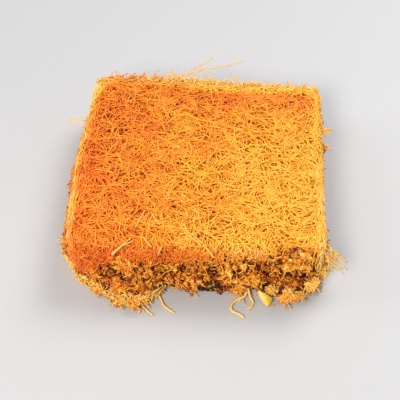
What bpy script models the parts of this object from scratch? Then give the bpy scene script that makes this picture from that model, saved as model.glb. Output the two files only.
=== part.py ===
"""Kunafa: a rectangular slab of shredded pastry baked round a nut filling.

Units are metres and +Z is up. The underside lies on Z = 0 with the origin under the middle of
the whole piece, and the cut front faces -Y. Four solids make it:

base_pastry   the lower layer of shredded pastry, whose cut strand ends fan out at the front
nut_filling   the crumbly layer of chopped nuts, which shows round all four sides
top_pastry    the browned upper layer, with strands woven over it and wisps off its back edge
nut_piece     a pale sliver of nut that leans on the foot of the front
"""

import math
import random
from typing import NamedTuple

import bmesh
import bpy
from mathutils import Matrix, Vector, noise

# Driving sizes of the slab
TOP_WIDTH = 0.169  # of the top face, left to right
TOP_DEPTH = 0.155  # of the top face, front to back
HEIGHT = 0.044  # underside to the top face
BASE_THICKNESS = 0.0115  # under the middle of the slab
CRUST_THICKNESS = 0.0105  # at the middle of the slab
BASE_TAPER = -0.017  # rise of the base's upper face for each metre to the right
CRUST_TAPER = 0.05  # rise of the crust's lower face for each metre to the right
GAP = 0.0003  # between layers that lie on each other
SQUARENESS = 20  # exponent of the outline: higher gives sharper corners
CRUST_ROUNDING = 0.0055  # how far the crust's upper edge is rounded off

# Strands of pastry
STRAND = 0.0012  # thickness of one strand
SIDE_REACH = 0.1035  # middle to the furthest strand tip, to the left and to the right
END_REACH = 0.1055  # middle to the furthest strand tip, to the front and to the back
WOVEN_COLUMNS = 7  # strands laid over the crust, one in each cell
WOVEN_ROWS = 6
WOVEN_LENGTH = (0.028, 0.044)  # shortest and longest

# Grid of each layer's surface
COLUMNS = 28
ROWS = 25

SEED = 7  # of every random draw


class Swell(NamedTuple):
    """A place round the slab where its side stands out, or with a negative reach falls back."""

    where: float  # direction from the middle, degrees anticlockwise from +X
    width: float  # degrees
    reach: float  # metres at the underside
    power: float  # above 1 holds the swell up the side, below 1 keeps it at the foot


SWELLS = (
    Swell(where=0, width=400, reach=0.004, power=1.6),  # the whole slab settles outwards
    Swell(where=180, width=40, reach=0.0080, power=3.0),  # sloping left side
    Swell(where=207, width=7, reach=0.004, power=0.8),  # left foot, towards the front
    Swell(where=243, width=9, reach=0.018, power=0.9),  # clump fanned out at the front left
    Swell(where=307, width=5, reach=0.007, power=0.5),  # clump at the front right
    Swell(where=333, width=6, reach=0.006, power=0.6),  # right foot, towards the front
)
CRUST_NOTCH = Swell(where=311, width=4.5, reach=-0.007, power=3.0)  # broken from the crust's edge


class Spray(NamedTuple):
    """A row of strand ends that stick out along a stretch of the slab's side."""

    start: float  # degrees
    end: float
    count: int
    low: float  # metres above the underside
    high: float
    reach: float  # metres out from the side


BASE_SPRAYS = (
    Spray(start=203, end=252, count=23, low=0.0015, high=0.0100, reach=0.0060),
    Spray(start=315, end=340, count=11, low=0.0015, high=0.0090, reach=0.0060),
    Spray(start=255, end=303, count=7, low=0.0020, high=0.0080, reach=0.0035),
    Spray(start=345, end=560, count=16, low=0.0020, high=0.0085, reach=0.0035),
)
CRUST_SPRAYS = (
    Spray(start=148, end=214, count=9, low=0.0360, high=0.0400, reach=0.0035),
    Spray(start=48, end=132, count=9, low=0.0385, high=0.0415, reach=0.0030),
    Spray(start=226, end=300, count=8, low=0.0380, high=0.0405, reach=0.0030),
)


class Crumbs(NamedTuple):
    """Lumps of chopped nut that stand out along a stretch of the filling."""

    start: float  # degrees
    end: float
    count: int
    smallest: float  # radius
    largest: float


CRUMBS = (
    Crumbs(start=226, end=316, count=34, smallest=0.0020, largest=0.0044),
    Crumbs(start=318, end=402, count=11, smallest=0.0020, largest=0.0036),
    Crumbs(start=44, end=222, count=17, smallest=0.0020, largest=0.0036),
)

# Wisps and fallen strands, each a short list of places that it runs through
WISPS = {
    "long_wisp": (
        (-0.030, 0.070, 0.0420), (-0.019, 0.082, 0.0440), (-0.008, 0.090, 0.0450),
        (0.006, 0.094, 0.0445), (0.017, 0.099, 0.0435), (0.026, END_REACH, 0.0430),
    ),
    "straight_wisp": (
        (-0.034, 0.069, 0.0425), (-0.022, 0.082, 0.0445), (-0.012, 0.091, 0.0450),
        (-0.004, 0.098, 0.0445),
    ),
    "short_wisp": ((0.029, 0.070, 0.0425), (0.023, 0.081, 0.0430), (0.017, 0.091, 0.0420)),
    "folded_wisp": (
        (-0.084, 0.043, 0.0370), (-0.094, 0.042, 0.0360), (-SIDE_REACH, 0.041, 0.0350),
        (-0.094, 0.036, 0.0355), (-0.084, 0.033, 0.0370),
    ),
    "proud_strand": (
        (-0.048, -0.070, 0.0432), (-0.040, -0.062, 0.0458), (-0.028, -0.052, 0.0465),
        (-0.018, -0.045, 0.0450), (-0.011, -0.041, 0.0430),
    ),
}
FALLEN = {
    "fallen_strand": (
        (-0.030, -0.080, 0.0040), (-0.024, -0.090, 0.0016), (-0.020, -0.097, 0.0009),
        (-0.013, -0.102, 0.0009),
    ),
    "straight_end": ((-0.040, -0.092, 0.0030), (-0.034, -0.099, 0.0016), (-0.027, -END_REACH, 0.0009)),
    "curl": (
        (0.036, -0.078, 0.0040), (0.034, -0.086, 0.0020), (0.028, -0.0895, 0.0010),
        (0.025, -0.094, 0.0009), (0.0257, -0.098, 0.0009), (0.0295, -0.100, 0.0009),
        (0.034, -0.103, 0.0009),
    ),
    "hook": (
        (0.035, -0.078, 0.0050), (0.0375, -0.0865, 0.0022), (0.0395, -0.0905, 0.0012),
        (0.038, -0.0945, 0.0009), (0.0355, -0.0960, 0.0009),
    ),
    "corner_spike": ((0.088, -0.052, 0.0060), (0.096, -0.051, 0.0050), (SIDE_REACH, -0.050, 0.0040)),
}

NUT_LENGTH = 0.0155
NUT_WIDTH = 0.0105
NUT_THICKNESS = 0.0062
NUT_PLACE = (0.0478, -0.0900, 0.0036)
NUT_LEAN = 22.0  # degrees that its long axis rises towards the slab
NUT_HEADING = 118.0  # degrees anticlockwise from +X


def clear_scene():
    for obj in list(bpy.data.objects):
        bpy.data.objects.remove(obj, do_unlink=True)


def make_material(name, colour, roughness):
    material = bpy.data.materials.new(name)
    material.use_nodes = True
    shader = material.node_tree.nodes["Principled BSDF"]
    shader.inputs["Base Color"].default_value = (*colour, 1.0)
    shader.inputs["Roughness"].default_value = roughness
    shader.inputs["Metallic"].default_value = 0.0
    return material


def add_object(name, bm, material=None):
    """Make an object in the scene from a bmesh, which is used up."""
    mesh = bpy.data.meshes.new(name)
    bm.to_mesh(mesh)
    bm.free()
    if material:
        mesh.materials.append(material)
    obj = bpy.data.objects.new(name, mesh)
    bpy.context.scene.collection.objects.link(obj)
    return obj


def swollen(swell, angle, height):
    """How far a swell pushes the side out at this angle (radians) and height."""
    turn = math.remainder(angle - math.radians(swell.where), math.tau)
    share = math.exp(-((turn / math.radians(swell.width)) ** 2))
    return swell.reach * share * (1.0 - min(height / HEIGHT, 1.0) ** swell.power)


def side_radius(angle, height):
    """Distance from the slab's middle to its side at this angle (radians) and height."""
    across = abs(math.cos(angle)) / (TOP_WIDTH / 2)
    along = abs(math.sin(angle)) / (TOP_DEPTH / 2)
    radius = (across**SQUARENESS + along**SQUARENESS) ** (-1.0 / SQUARENESS)
    return radius + sum(swollen(swell, angle, height) for swell in SWELLS)


def base_top(x):
    return BASE_THICKNESS + BASE_TAPER * x


def filling_top(x):
    return HEIGHT - CRUST_THICKNESS + CRUST_TAPER * x


def crust_height(x, y):
    """The crust's upper face, with the shallow dips and rises of the shredded pastry."""
    broad = noise.noise(Vector((x, y, 0.0)) / 0.024)
    fine = noise.noise(Vector((x, y, 0.05)) / 0.009)
    return HEIGHT - 0.0004 + 0.0009 * broad + 0.0006 * fine


def ragged(place, depth, size):
    """Uneven push in or out for a broken surface, at most about depth."""
    coarse = noise.noise(Vector(place) / size)
    fine = noise.noise(Vector(place) / (0.45 * size) + Vector((5.2, 1.3, 8.8)))
    return depth * (1.1 * coarse + 0.7 * fine)


def gridded_box(columns, rows, rings):
    """A closed box from -1 to 1 on each axis with every face cut into a grid."""
    bm = bmesh.new()
    bmesh.ops.create_cube(bm, size=2.0)
    for axis, parts in enumerate((columns, rows, rings)):
        along = [e for e in bm.edges if abs((e.verts[1].co - e.verts[0].co)[axis]) > 1e-6]
        bmesh.ops.subdivide_edges(bm, edges=along, cuts=parts - 1, use_grid_fill=True)
    return bm


def merge_cap(bm, upper):
    """Join one end of a gridded box into a single flat face."""
    cap = [f for f in bm.faces if all(v.co.z * upper > 1.0 - 1e-6 for v in f.verts)]
    bmesh.ops.dissolve_faces(bm, faces=cap, use_verts=False)


def drop_loose_verts(bm):
    bmesh.ops.delete(bm, geom=[v for v in bm.verts if not v.link_faces], context="VERTS")


def layer(name, rings, flat_ends, place, material):
    """A layer of the slab: a gridded box whose points are moved by place(u, v, w)."""
    bm = gridded_box(COLUMNS, ROWS, rings)
    for upper in flat_ends:
        merge_cap(bm, upper)
    drop_loose_verts(bm)
    for vert in bm.verts:
        u, v, w = vert.co
        vert.co = place(u, v, (w + 1.0) / 2.0)
    bmesh.ops.recalc_face_normals(bm, faces=bm.faces)
    return add_object(name, bm, material)


def polar(u, v):
    """Angle and share of the radius for a point of the square from -1 to 1."""
    angle = math.atan2(v * TOP_DEPTH, u * TOP_WIDTH)
    return angle, max(abs(u), abs(v))


def build_base(material):
    """The lower pastry: a mat with loose sides, flat under and over."""

    def place(u, v, w):
        angle, share = polar(u, v)
        height = w * BASE_THICKNESS
        radius = side_radius(angle, height)
        spot = (radius * math.cos(angle), radius * math.sin(angle), height)
        radius = share * (radius + ragged(spot, 0.0012, 0.007) * share**8)
        x, y = radius * math.cos(angle), radius * math.sin(angle)
        return Vector((x, y, w * base_top(x)))

    core = layer("base_pastry", 2, (-1, 1), place, material)
    loose = spray_strands(BASE_SPRAYS, lambda x: (STRAND / 2, base_top(x) - STRAND * 0.6))
    loose += [strand(name, smooth_route(places)) for name, places in FALLEN.items()]
    loose += front_clumps()
    fuse(core, loose)
    return core


def build_filling(material):
    """The nut filling: crumbly all round its sides, flat where the pastry lies on it."""

    def place(u, v, w):
        angle, share = polar(u, v)
        height = BASE_THICKNESS + w * (HEIGHT - CRUST_THICKNESS - BASE_THICKNESS)
        radius = side_radius(angle, height)
        spot = (radius * math.cos(angle), radius * math.sin(angle), height)
        radius = share * (radius - 0.0012 + ragged(spot, 0.0030, 0.009) * share**8)
        x, y = radius * math.cos(angle), radius * math.sin(angle)
        low = base_top(x) + GAP
        return Vector((x, y, low + w * (filling_top(x) - low)))

    core = layer("nut_filling", 4, (-1, 1), place, material)
    fuse(core, nut_crumbs())
    return core


def build_crust(material):
    """The browned pastry: a mat with rounded edges, a ragged front and strands woven over it."""

    def place(u, v, w):
        angle, share = polar(u, v)
        bend = w * math.pi / 2
        thickness = CRUST_THICKNESS * math.sin(bend)
        height = HEIGHT - CRUST_THICKNESS + thickness
        radius = side_radius(angle, height) + swollen(CRUST_NOTCH, angle, 0.0)
        spot = (radius * math.cos(angle), radius * math.sin(angle), height)
        radius += ragged(spot, 0.0013, 0.008) - CRUST_ROUNDING * (1.0 - math.cos(bend))
        x, y = share * radius * math.cos(angle), share * radius * math.sin(angle)
        low = filling_top(x) + GAP
        edge = 0.0016 * share**6
        return Vector((x, y, low + math.sin(bend) * (crust_height(x, y) - edge - low)))

    core = layer("top_pastry", 3, (-1,), place, material)
    loose = woven_strands()
    loose += spray_strands(CRUST_SPRAYS, lambda x: (filling_top(x) + STRAND, HEIGHT))
    loose += [strand(name, smooth_route(places)) for name, places in WISPS.items()]
    fuse(core, loose)
    return core


def smooth_route(places, steps=3):
    """Points along a smooth curve through the given places (Catmull-Rom)."""
    spots = [Vector(p) for p in places]
    spots = [2 * spots[0] - spots[1], *spots, 2 * spots[-1] - spots[-2]]
    route = []
    for a, b, c, d in zip(spots, spots[1:], spots[2:], spots[3:]):
        for step in range(steps):
            t = step / steps
            route.append(
                0.5 * (2 * b + (c - a) * t + (2 * a - 5 * b + 4 * c - d) * t**2)
                + 0.5 * (3 * b - a - 3 * c + d) * t**3
            )
    return [*route, spots[-2]]


def strand(name, route):
    """One strand of pastry: a closed four-sided tube along a route of points."""
    curve = bpy.data.curves.new(name, "CURVE")
    curve.dimensions = "3D"
    curve.bevel_depth = STRAND / 2
    curve.bevel_resolution = 0
    curve.use_fill_caps = True
    spline = curve.splines.new("POLY")
    spline.points.add(len(route) - 1)
    for point, spot in zip(spline.points, route):
        point.co = (*spot, 1.0)
    holder = bpy.data.objects.new(name, curve)
    bpy.context.scene.collection.objects.link(holder)
    bpy.context.view_layer.update()
    bm = bmesh.new()
    bm.from_mesh(holder.evaluated_get(bpy.context.evaluated_depsgraph_get()).to_mesh())
    bmesh.ops.remove_doubles(bm, verts=bm.verts, dist=1e-6)
    bmesh.ops.recalc_face_normals(bm, faces=bm.faces)
    bpy.data.objects.remove(holder, do_unlink=True)
    return add_object(name, bm)


def woven_strands():
    """Strands laid over the crust, one in each cell of a grid, each in its own direction."""
    draw = random.Random(SEED)
    strands = []
    for cell in range(WOVEN_COLUMNS * WOVEN_ROWS):
        column, row = cell % WOVEN_COLUMNS, cell // WOVEN_COLUMNS
        x = TOP_WIDTH * 0.94 * ((column + draw.uniform(0.2, 0.8)) / WOVEN_COLUMNS - 0.5)
        y = TOP_DEPTH * 0.94 * ((row + draw.uniform(0.2, 0.8)) / WOVEN_ROWS - 0.5)
        heading = draw.uniform(0.0, math.pi)
        bow = draw.uniform(-0.5, 0.5)
        length = draw.uniform(*WOVEN_LENGTH)
        proud = draw.uniform(0.00005, 0.0004)
        route = []
        for t in (-0.5, -0.26, 0.0, 0.26, 0.5):
            way = heading + bow * t
            px = x + length * t * math.cos(way)
            py = y + length * t * math.sin(way)
            sink = 0.0011 * (2 * abs(t)) ** 3
            if inside_top(px, py):
                route.append((px, py, crust_height(px, py) + proud - sink))
        if len(route) > 2:
            strands.append(strand(f"woven_{cell}", route))
    return strands


def inside_top(x, y):
    """True where a strand can lie on the crust, clear of its rounded edge."""
    angle = math.atan2(y, x)
    limit = side_radius(angle, HEIGHT) + swollen(CRUST_NOTCH, angle, 0.0) - CRUST_ROUNDING - STRAND
    return math.hypot(x, y) < limit


def spray_strands(sprays, level_range):
    """Strand ends that fan out of the side, kept between two levels that vary with X."""
    draw = random.Random(SEED + 1)
    strands = []
    for spray in sprays:
        for index in range(spray.count):
            share = (index + draw.uniform(0.2, 0.8)) / spray.count
            angle = math.radians(spray.start + share * (spray.end - spray.start))
            level = draw.uniform(spray.low, spray.high)
            side = side_radius(angle, level)
            out = side + spray.reach * draw.uniform(0.5, 1.0)
            turn = draw.uniform(-0.045, 0.045)
            drop = draw.uniform(-0.002, 0.002)
            route = []
            for radius, t in ((side - 0.006, 0.0), (side - 0.0005, 0.45), (out, 1.0)):
                x = radius * math.cos(angle + turn * t * t)
                y = radius * math.sin(angle + turn * t * t)
                lowest, highest = level_range(x)
                route.append((x, y, min(max(level + drop * t, lowest), highest)))
            strands.append(strand(f"spray_{len(strands)}", route))
    return strands


def lump(name, place, radius, stretch, draw, detail=1):
    """A rough many-sided lump, as a crumb of nut breaks."""
    bm = bmesh.new()
    turn = Matrix.Rotation(draw.uniform(0.0, math.tau), 4, Vector((draw.random(), draw.random(), 1.0)))
    size = Matrix.Diagonal((stretch, 1.0, draw.uniform(0.7, 1.0), 1.0))
    matrix = Matrix.Translation(place) @ turn @ size
    bmesh.ops.create_icosphere(bm, subdivisions=detail, radius=radius, matrix=matrix)
    for vert in bm.verts:
        vert.co += (vert.co - Vector(place)) * draw.uniform(-0.22, 0.22)
        vert.co.z = max(vert.co.z, STRAND / 4)
    return add_object(name, bm)


def nut_crumbs():
    """Crumbs of nut half sunk in the filling's sides, kept between the two pastry layers."""
    draw = random.Random(SEED + 2)
    lumps = []
    for crumbs in CRUMBS:
        for index in range(crumbs.count):
            share = (index + draw.random()) / crumbs.count
            angle = math.radians(crumbs.start + share * (crumbs.end - crumbs.start))
            size = crumbs.smallest + (crumbs.largest - crumbs.smallest) * draw.random() ** 2
            reach = 1.35 * size
            x = side_radius(angle, HEIGHT / 2) * math.cos(angle)
            low = base_top(x) + GAP + reach + 0.0006
            high = filling_top(x) - reach - 0.0006
            level = low + (high - low) * draw.random()
            radius = side_radius(angle, level) + draw.uniform(-0.3, 0.2) * size
            spot = Vector((radius * math.cos(angle), radius * math.sin(angle), level))
            lumps.append(lump(f"crumb_{len(lumps)}", spot, size, 1.0, draw))
    return lumps


def front_clumps():
    """Clumps of pastry that sag out at the foot of the front."""
    draw = random.Random(SEED + 3)
    spots = (
        (-0.052, -0.0960, 0.0050), (-0.040, -0.0985, 0.0045), (-0.066, -0.0890, 0.0055),
        (0.061, -0.0860, 0.0050), (0.071, -0.0815, 0.0050), (0.030, -0.0820, 0.0050),
        (0.006, -0.0810, 0.0050), (-0.016, -0.0840, 0.0045),
    )
    return [lump(f"clump_{i}", spot, 0.0038, 1.3, draw, 2) for i, spot in enumerate(spots)]


def fuse(core, pieces):
    """Join the pieces to the core by one Boolean union, then remove them."""
    group = bpy.data.collections.new(f"{core.name}_pieces")
    bpy.context.scene.collection.children.link(group)
    for piece in pieces:
        bpy.context.scene.collection.objects.unlink(piece)
        group.objects.link(piece)
    union = core.modifiers.new("fuse", "BOOLEAN")
    union.operation = "UNION"
    union.operand_type = "COLLECTION"
    union.collection = group
    union.solver = "EXACT"
    union.use_self = True
    bpy.context.view_layer.objects.active = core
    bpy.ops.object.modifier_apply(modifier=union.name)
    for piece in pieces:
        bpy.data.objects.remove(piece, do_unlink=True)
    bpy.data.collections.remove(group)
    keep_main_body(core)


def keep_main_body(obj):
    """Drop loose scraps and the walls of sealed hollows, which leaves the largest closed shell."""
    bm = bmesh.new()
    bm.from_mesh(obj.data)
    bmesh.ops.triangulate(bm, faces=bm.faces)
    left = set(bm.verts)
    shells = []
    while left:
        stack = [left.pop()]
        shell = set(stack)
        while stack:
            for edge in stack.pop().link_edges:
                for vert in edge.verts:
                    if vert in left:
                        left.remove(vert)
                        shell.add(vert)
                        stack.append(vert)
        shells.append(shell)
    main = max(shells, key=len)
    bmesh.ops.delete(bm, geom=[v for v in bm.verts if v not in main], context="VERTS")
    bm.to_mesh(obj.data)
    bm.free()


def build_nut(material):
    """A sliver of nut: broad and blunt at its foot, narrow where it leans on the slab."""
    bm = bmesh.new()
    bmesh.ops.create_icosphere(bm, subdivisions=2, radius=0.5)
    for vert in bm.verts:
        along = vert.co.x
        taper = 1.0 - 0.55 * max(along, 0.0) * 2.0 + 0.15 * min(along, 0.0)
        ridge = 1.0 + 0.3 * max(0.0, 0.35 - abs(vert.co.y) * 2.0)
        vert.co.y *= taper
        vert.co.z *= taper * ridge
        vert.co *= 1.0 + 0.10 * noise.noise(vert.co * 3.1 + Vector((4.0, 0.0, 0.0)))
    turn = (
        Matrix.Rotation(math.radians(NUT_HEADING), 4, "Z")
        @ Matrix.Rotation(-math.radians(NUT_LEAN), 4, "Y")
        @ Matrix.Diagonal((NUT_LENGTH, NUT_WIDTH, NUT_THICKNESS, 1.0))
    )
    bmesh.ops.transform(bm, matrix=Matrix.Translation(NUT_PLACE) @ turn, verts=bm.verts)
    for vert in bm.verts:
        vert.co.z = max(vert.co.z, 0.0)
    return add_object("nut_piece", bm, material)


def main():
    clear_scene()
    build_base(make_material("pale_pastry", (0.86, 0.47, 0.10), 0.55))
    build_filling(make_material("chopped_nuts", (0.48, 0.24, 0.05), 0.65))
    build_crust(make_material("browned_pastry", (0.87, 0.35, 0.05), 0.5))
    build_nut(make_material("pale_nut", (0.88, 0.70, 0.26), 0.45))


main()
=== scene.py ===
"""Looks of a kunafa slab: thousands of strands of shredded pastry over and under a nut filling.

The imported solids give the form. Here each of them is replaced by what the real food is made of:
a dense core under mats of true-size strands, heaps of nut crumbs and cut strand ends, and the
loose strands that stand off the sides. Everything is in metres, +Z up, the cut front towards -Y.
"""

import logging
import math
from dataclasses import dataclass, field
from enum import Enum
from typing import Callable

import bmesh
import bpy
import numpy as np
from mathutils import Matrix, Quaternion, Vector, noise


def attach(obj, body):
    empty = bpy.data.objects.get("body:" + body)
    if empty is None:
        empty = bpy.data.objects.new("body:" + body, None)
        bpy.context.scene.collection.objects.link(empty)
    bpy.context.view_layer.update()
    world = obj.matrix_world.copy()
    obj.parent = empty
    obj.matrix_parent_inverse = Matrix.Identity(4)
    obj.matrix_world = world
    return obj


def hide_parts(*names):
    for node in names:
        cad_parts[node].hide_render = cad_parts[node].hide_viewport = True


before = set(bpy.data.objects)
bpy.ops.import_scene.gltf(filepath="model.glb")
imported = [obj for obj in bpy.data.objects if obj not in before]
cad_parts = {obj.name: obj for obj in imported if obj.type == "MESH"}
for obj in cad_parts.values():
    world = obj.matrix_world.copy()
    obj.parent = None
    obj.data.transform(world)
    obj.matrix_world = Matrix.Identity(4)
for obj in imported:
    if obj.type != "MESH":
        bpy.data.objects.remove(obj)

LOG = logging.getLogger("kunafa")
BODY = "root"
BAKE_MAP = "OFBake"  # the UV map in which no two faces overlap
ON_BETWEEN = (0, 1, 1, 0)  # off, fully on from the second place to the third, and off again
Array = np.ndarray
Draw = np.random.Generator
Mesh = bpy.types.Mesh
Piece = bpy.types.Object
Skin = bpy.types.Material
Span = tuple[float, float]  # the lowest and the highest value
Colour = tuple[float, float, float]
Rule = Callable[[Array], Array]  # what holds at points (..., 2) of the flat sheet
Strands = tuple[Array, Array, Array]  # centre lines, directions square to them, and thicknesses


# ---- form of the slab


@dataclass(frozen=True)
class Swell:
    """A place round the slab where its side stands out, or with a negative reach falls back."""

    where: float  # degrees anticlockwise from +X
    width: float  # degrees
    reach: float  # at the underside
    power: float  # above 1 holds the swell up the side, below 1 keeps it at the foot

    def push(self, angle: Array, share: Array) -> Array:
        """How far the side moves out.

        Args:
            angle: directions from the middle, in radians.
            share: heights as shares of the slab's height.

        Returns:
            Distances in metres.
        """
        turn = np.remainder(angle - math.radians(self.where) + math.pi, math.tau) - math.pi
        lobe = np.exp(-((turn / math.radians(self.width)) ** 2))
        return self.reach * lobe * (1.0 - np.clip(share, 0.0, 1.0) ** self.power)


@dataclass(frozen=True)
class SlabForm:
    """The slab's outer form, from the same sizes as its solids."""

    top_width: float = 0.169
    top_depth: float = 0.155
    height: float = 0.044
    base_thickness: float = 0.0115
    crust_thickness: float = 0.0105
    base_taper: float = -0.017
    crust_taper: float = 0.05
    squareness: float = 20.0
    corner_radius: float = 0.0095
    rounding: float = 0.0055
    rounding_drop: float = 0.0065
    side_reach: float = 0.103  # furthest strand tip to the left and right
    end_reach: float = 0.105  # furthest strand tip to the front and back
    crest: float = 0.0467  # highest strand
    floor_room: float = 0.0006  # middle of a strand that lies at the foot
    dip_level: float = -0.0004  # of the top's middle, from the slab's height
    broad_dip: float = 0.0009
    broad_dip_size: float = 0.024
    fine_dip: float = 0.0006
    fine_dip_size: float = 0.009
    edge_fall: float = 0.001  # how much lower the top's edges are than its middle
    swells: tuple[Swell, ...] = (
        Swell(0, 400, 0.004, 1.6),
        Swell(180, 40, 0.008, 3.0),
        Swell(207, 7, 0.004, 0.8),
        Swell(221, 5, -0.007, 1.5),
        Swell(233, 4, 0.003, 0.6),
        Swell(243, 9, 0.018, 0.9),
        Swell(250, 3, 0.006, 0.5),
        Swell(275, 19, 0.0056, 0.38),
        Swell(307, 5, 0.007, 0.5),
        Swell(320, 5, -0.004, 1.2),
        Swell(326.5, 4, 0.006, 0.6),
        Swell(343, 15, -0.0042, 1.4),
        Swell(12, 26, -0.003, 1.5),
    )
    notch: Swell = Swell(311, 4.5, -0.007, 3.0)

    def side_radius(self, angle: Array, height: Array | float) -> Array:
        """Distance from the slab's middle to its side.

        Args:
            angle: directions from the middle, in radians.
            height: heights above the underside.

        Returns:
            Distances in metres.
        """
        across = np.abs(np.cos(angle)) / (self.top_width / 2)
        along = np.abs(np.sin(angle)) / (self.top_depth / 2)
        radius = (across**self.squareness + along**self.squareness) ** (-1.0 / self.squareness)
        share = np.asarray(height) / self.height
        return radius + sum(swell.push(angle, share) for swell in self.swells)

    def base_top(self, x: Array) -> Array:
        """Height of the seam between the base and the filling."""
        return self.base_thickness + self.base_taper * x

    def filling_top(self, x: Array) -> Array:
        """Height of the seam between the filling and the crust."""
        return self.height - self.crust_thickness + self.crust_taper * x

    def dips(self, xy: Array) -> Array:
        """Shallow dips and rises of the crust's upper face, for points in X and Y."""
        fine = self.fine_dip * waves(xy, self.fine_dip_size, 0.05 / self.fine_dip_size)
        return self.dip_level + self.broad_dip * waves(xy, self.broad_dip_size) + fine

    def fold(self, flat: Array, notched: bool = False) -> Array:
        """Fold points of a flat sheet down over the slab's top and sides, and out along the floor.

        Args:
            flat: points (..., 2) on the sheet, in metres from the middle of the top.
            notched: whether the break in the crust's edge is followed.

        Returns:
            Points (..., 3) on the slab.
        """
        spread, out, inner, bend, drop = self._bent(flat)
        height = self.height - drop
        toe = np.maximum(self.floor_room - height, 0.0)
        height = np.maximum(height, self.floor_room)
        xy = inner + out * spread[..., None]
        angle = np.arctan2(xy[..., 1], xy[..., 0])
        top_radius = self.side_radius(angle, self.height)
        share = np.linalg.norm(xy, axis=-1) / top_radius
        scale = self.side_radius(angle, height) / top_radius
        if notched:
            scale = scale + self.notch.push(angle, np.zeros_like(angle)) / top_radius * share**5
        xy = xy * scale[..., None] + out * toe[..., None]
        top = height + (self.dips(xy) - self.edge_fall * share**6) * np.cos(bend)
        return np.concatenate([xy, top[..., None]], axis=-1)

    def outward(self, flat: Array, notched: bool = False) -> Array:
        """Find the normals of the slab's surface under points of the flat sheet.

        Args:
            flat: points (..., 2) on the sheet.
            notched: whether the break in the crust's edge is followed.

        Returns:
            Unit vectors (..., 3).
        """
        step = 0.0005
        over_x = self.fold(flat + (step, 0), notched) - self.fold(flat - (step, 0), notched)
        over_y = self.fold(flat + (0, step), notched) - self.fold(flat - (0, step), notched)
        return unit(np.cross(over_x, over_y))

    def unfold(self, flat: Array) -> tuple[Array, Array]:
        """Find where round the slab points of the flat sheet come to lie.

        Args:
            flat: points (..., 2) on the sheet.

        Returns:
            Directions from the middle, in radians, and how far below the top they are.
        """
        spread, out, inner, _, drop = self._bent(flat)
        xy = inner + out * spread[..., None]
        return np.arctan2(xy[..., 1], xy[..., 0]), drop

    def _bent(self, flat: Array) -> tuple[Array, ...]:
        """Bend the flat sheet over the rim of the top.

        Args:
            flat: points (..., 2) on the sheet.

        Returns:
            How far out they go, which way, from where, how steep they are and how far down they lie.
        """
        half = np.array([self.top_width, self.top_depth]) / 2 - self.corner_radius
        inner = np.clip(flat, -half, half)
        away = flat - inner
        reach = np.linalg.norm(away, axis=-1)
        out = away / np.maximum(reach, 1e-9)[..., None]
        rim = self.corner_radius - self.rounding
        past = np.maximum(reach - rim, 0.0)
        arc = math.pi / 4 * (self.rounding + self.rounding_drop)
        bend = np.clip(past / arc, 0.0, 1.0) * math.pi / 2
        spread = np.where(past > 0, rim + self.rounding * np.sin(bend), reach)
        drop = self.rounding_drop * (1.0 - np.cos(bend)) + np.maximum(past - arc, 0.0)
        return spread, out, inner, bend, drop

    def angles(self, shares: Array) -> Array:
        """Find directions by how far round the slab's side they are.

        Args:
            shares: shares of the way round, anticlockwise from +X.

        Returns:
            Directions from the middle, in radians.
        """
        turn = np.linspace(0.0, math.tau, 721)
        radius = self.side_radius(turn, self.height / 2)
        spots = np.stack([radius * np.cos(turn), radius * np.sin(turn)], axis=-1)
        way = np.concatenate([[0.0], np.cumsum(np.linalg.norm(np.diff(spots, axis=0), axis=1))])
        return np.interp(np.remainder(shares, 1.0), way / way[-1], turn)

    def side_frame(self, angle: Array, height: Array) -> tuple[Array, ...]:
        """Find places on the side, with the directions out of it and along it.

        Args:
            angle: directions from the middle, in radians.
            height: heights above the underside.

        Returns:
            Places, outward unit vectors and unit vectors along the side, each (..., 3).
        """

        def spot(turn: Array) -> Array:
            """The place on the side in each direction."""
            radius = self.side_radius(turn, height)
            return np.stack([radius * np.cos(turn), radius * np.sin(turn), height + 0 * turn], axis=-1)

        along = unit(spot(angle + 0.004) - spot(angle - 0.004))
        out = np.stack([along[..., 1], -along[..., 0], 0 * along[..., 0]], axis=-1)
        return spot(angle), out, along

    def held(self, routes: Array, widths: Array) -> Array:
        """Keep strands within the slab's whole reach and above what it rests on.

        Args:
            routes: centre lines (..., 3).
            widths: their thicknesses.

        Returns:
            Centre lines (..., 3).
        """
        reach = np.array([self.side_reach, self.end_reach])
        room = widths[..., None] / 2
        level = np.clip(routes[..., 2:], room + 0.0001, self.crest - room)
        return np.concatenate([np.clip(routes[..., :2], room - reach, reach - room), level], axis=-1)


def unit(vectors: Array) -> Array:
    """The vectors at length one."""
    return vectors / np.maximum(np.linalg.norm(vectors, axis=-1, keepdims=True), 1e-12)


def waves(spots: Array, size: float, shift: float = 0.0) -> Array:
    """Smooth noise from about -1 to 1.

    Args:
        spots: points (..., 2) or (..., 3).
        size: length of one wave, in metres.
        shift: added to the third coordinate after scaling, to get another pattern.

    Returns:
        One value for each point.
    """
    flat = np.reshape(spots, (-1, spots.shape[-1])) / size
    if flat.shape[1] == 2:
        flat = np.concatenate([flat, np.zeros((len(flat), 1))], axis=1)
    flat[:, 2] += shift
    found = np.fromiter((noise.noise(Vector(p)) for p in flat), float, len(flat))
    return found.reshape(spots.shape[:-1])


def degrees_round(angle: Array) -> Array:
    """Directions in radians as degrees from 0 to 360."""
    return np.degrees(np.remainder(angle, math.tau))


def between(values: Array, low: float, high: float) -> Array:
    """Whether values lie between two others."""
    return (values > low) & (values < high)


def towards(way: float, spread: float, draw: Draw) -> Rule:
    """A rule for strands that lie about one way, given in degrees, with a spread in radians."""
    return lambda flat: draw.normal(math.radians(way), spread, len(flat))


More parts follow.
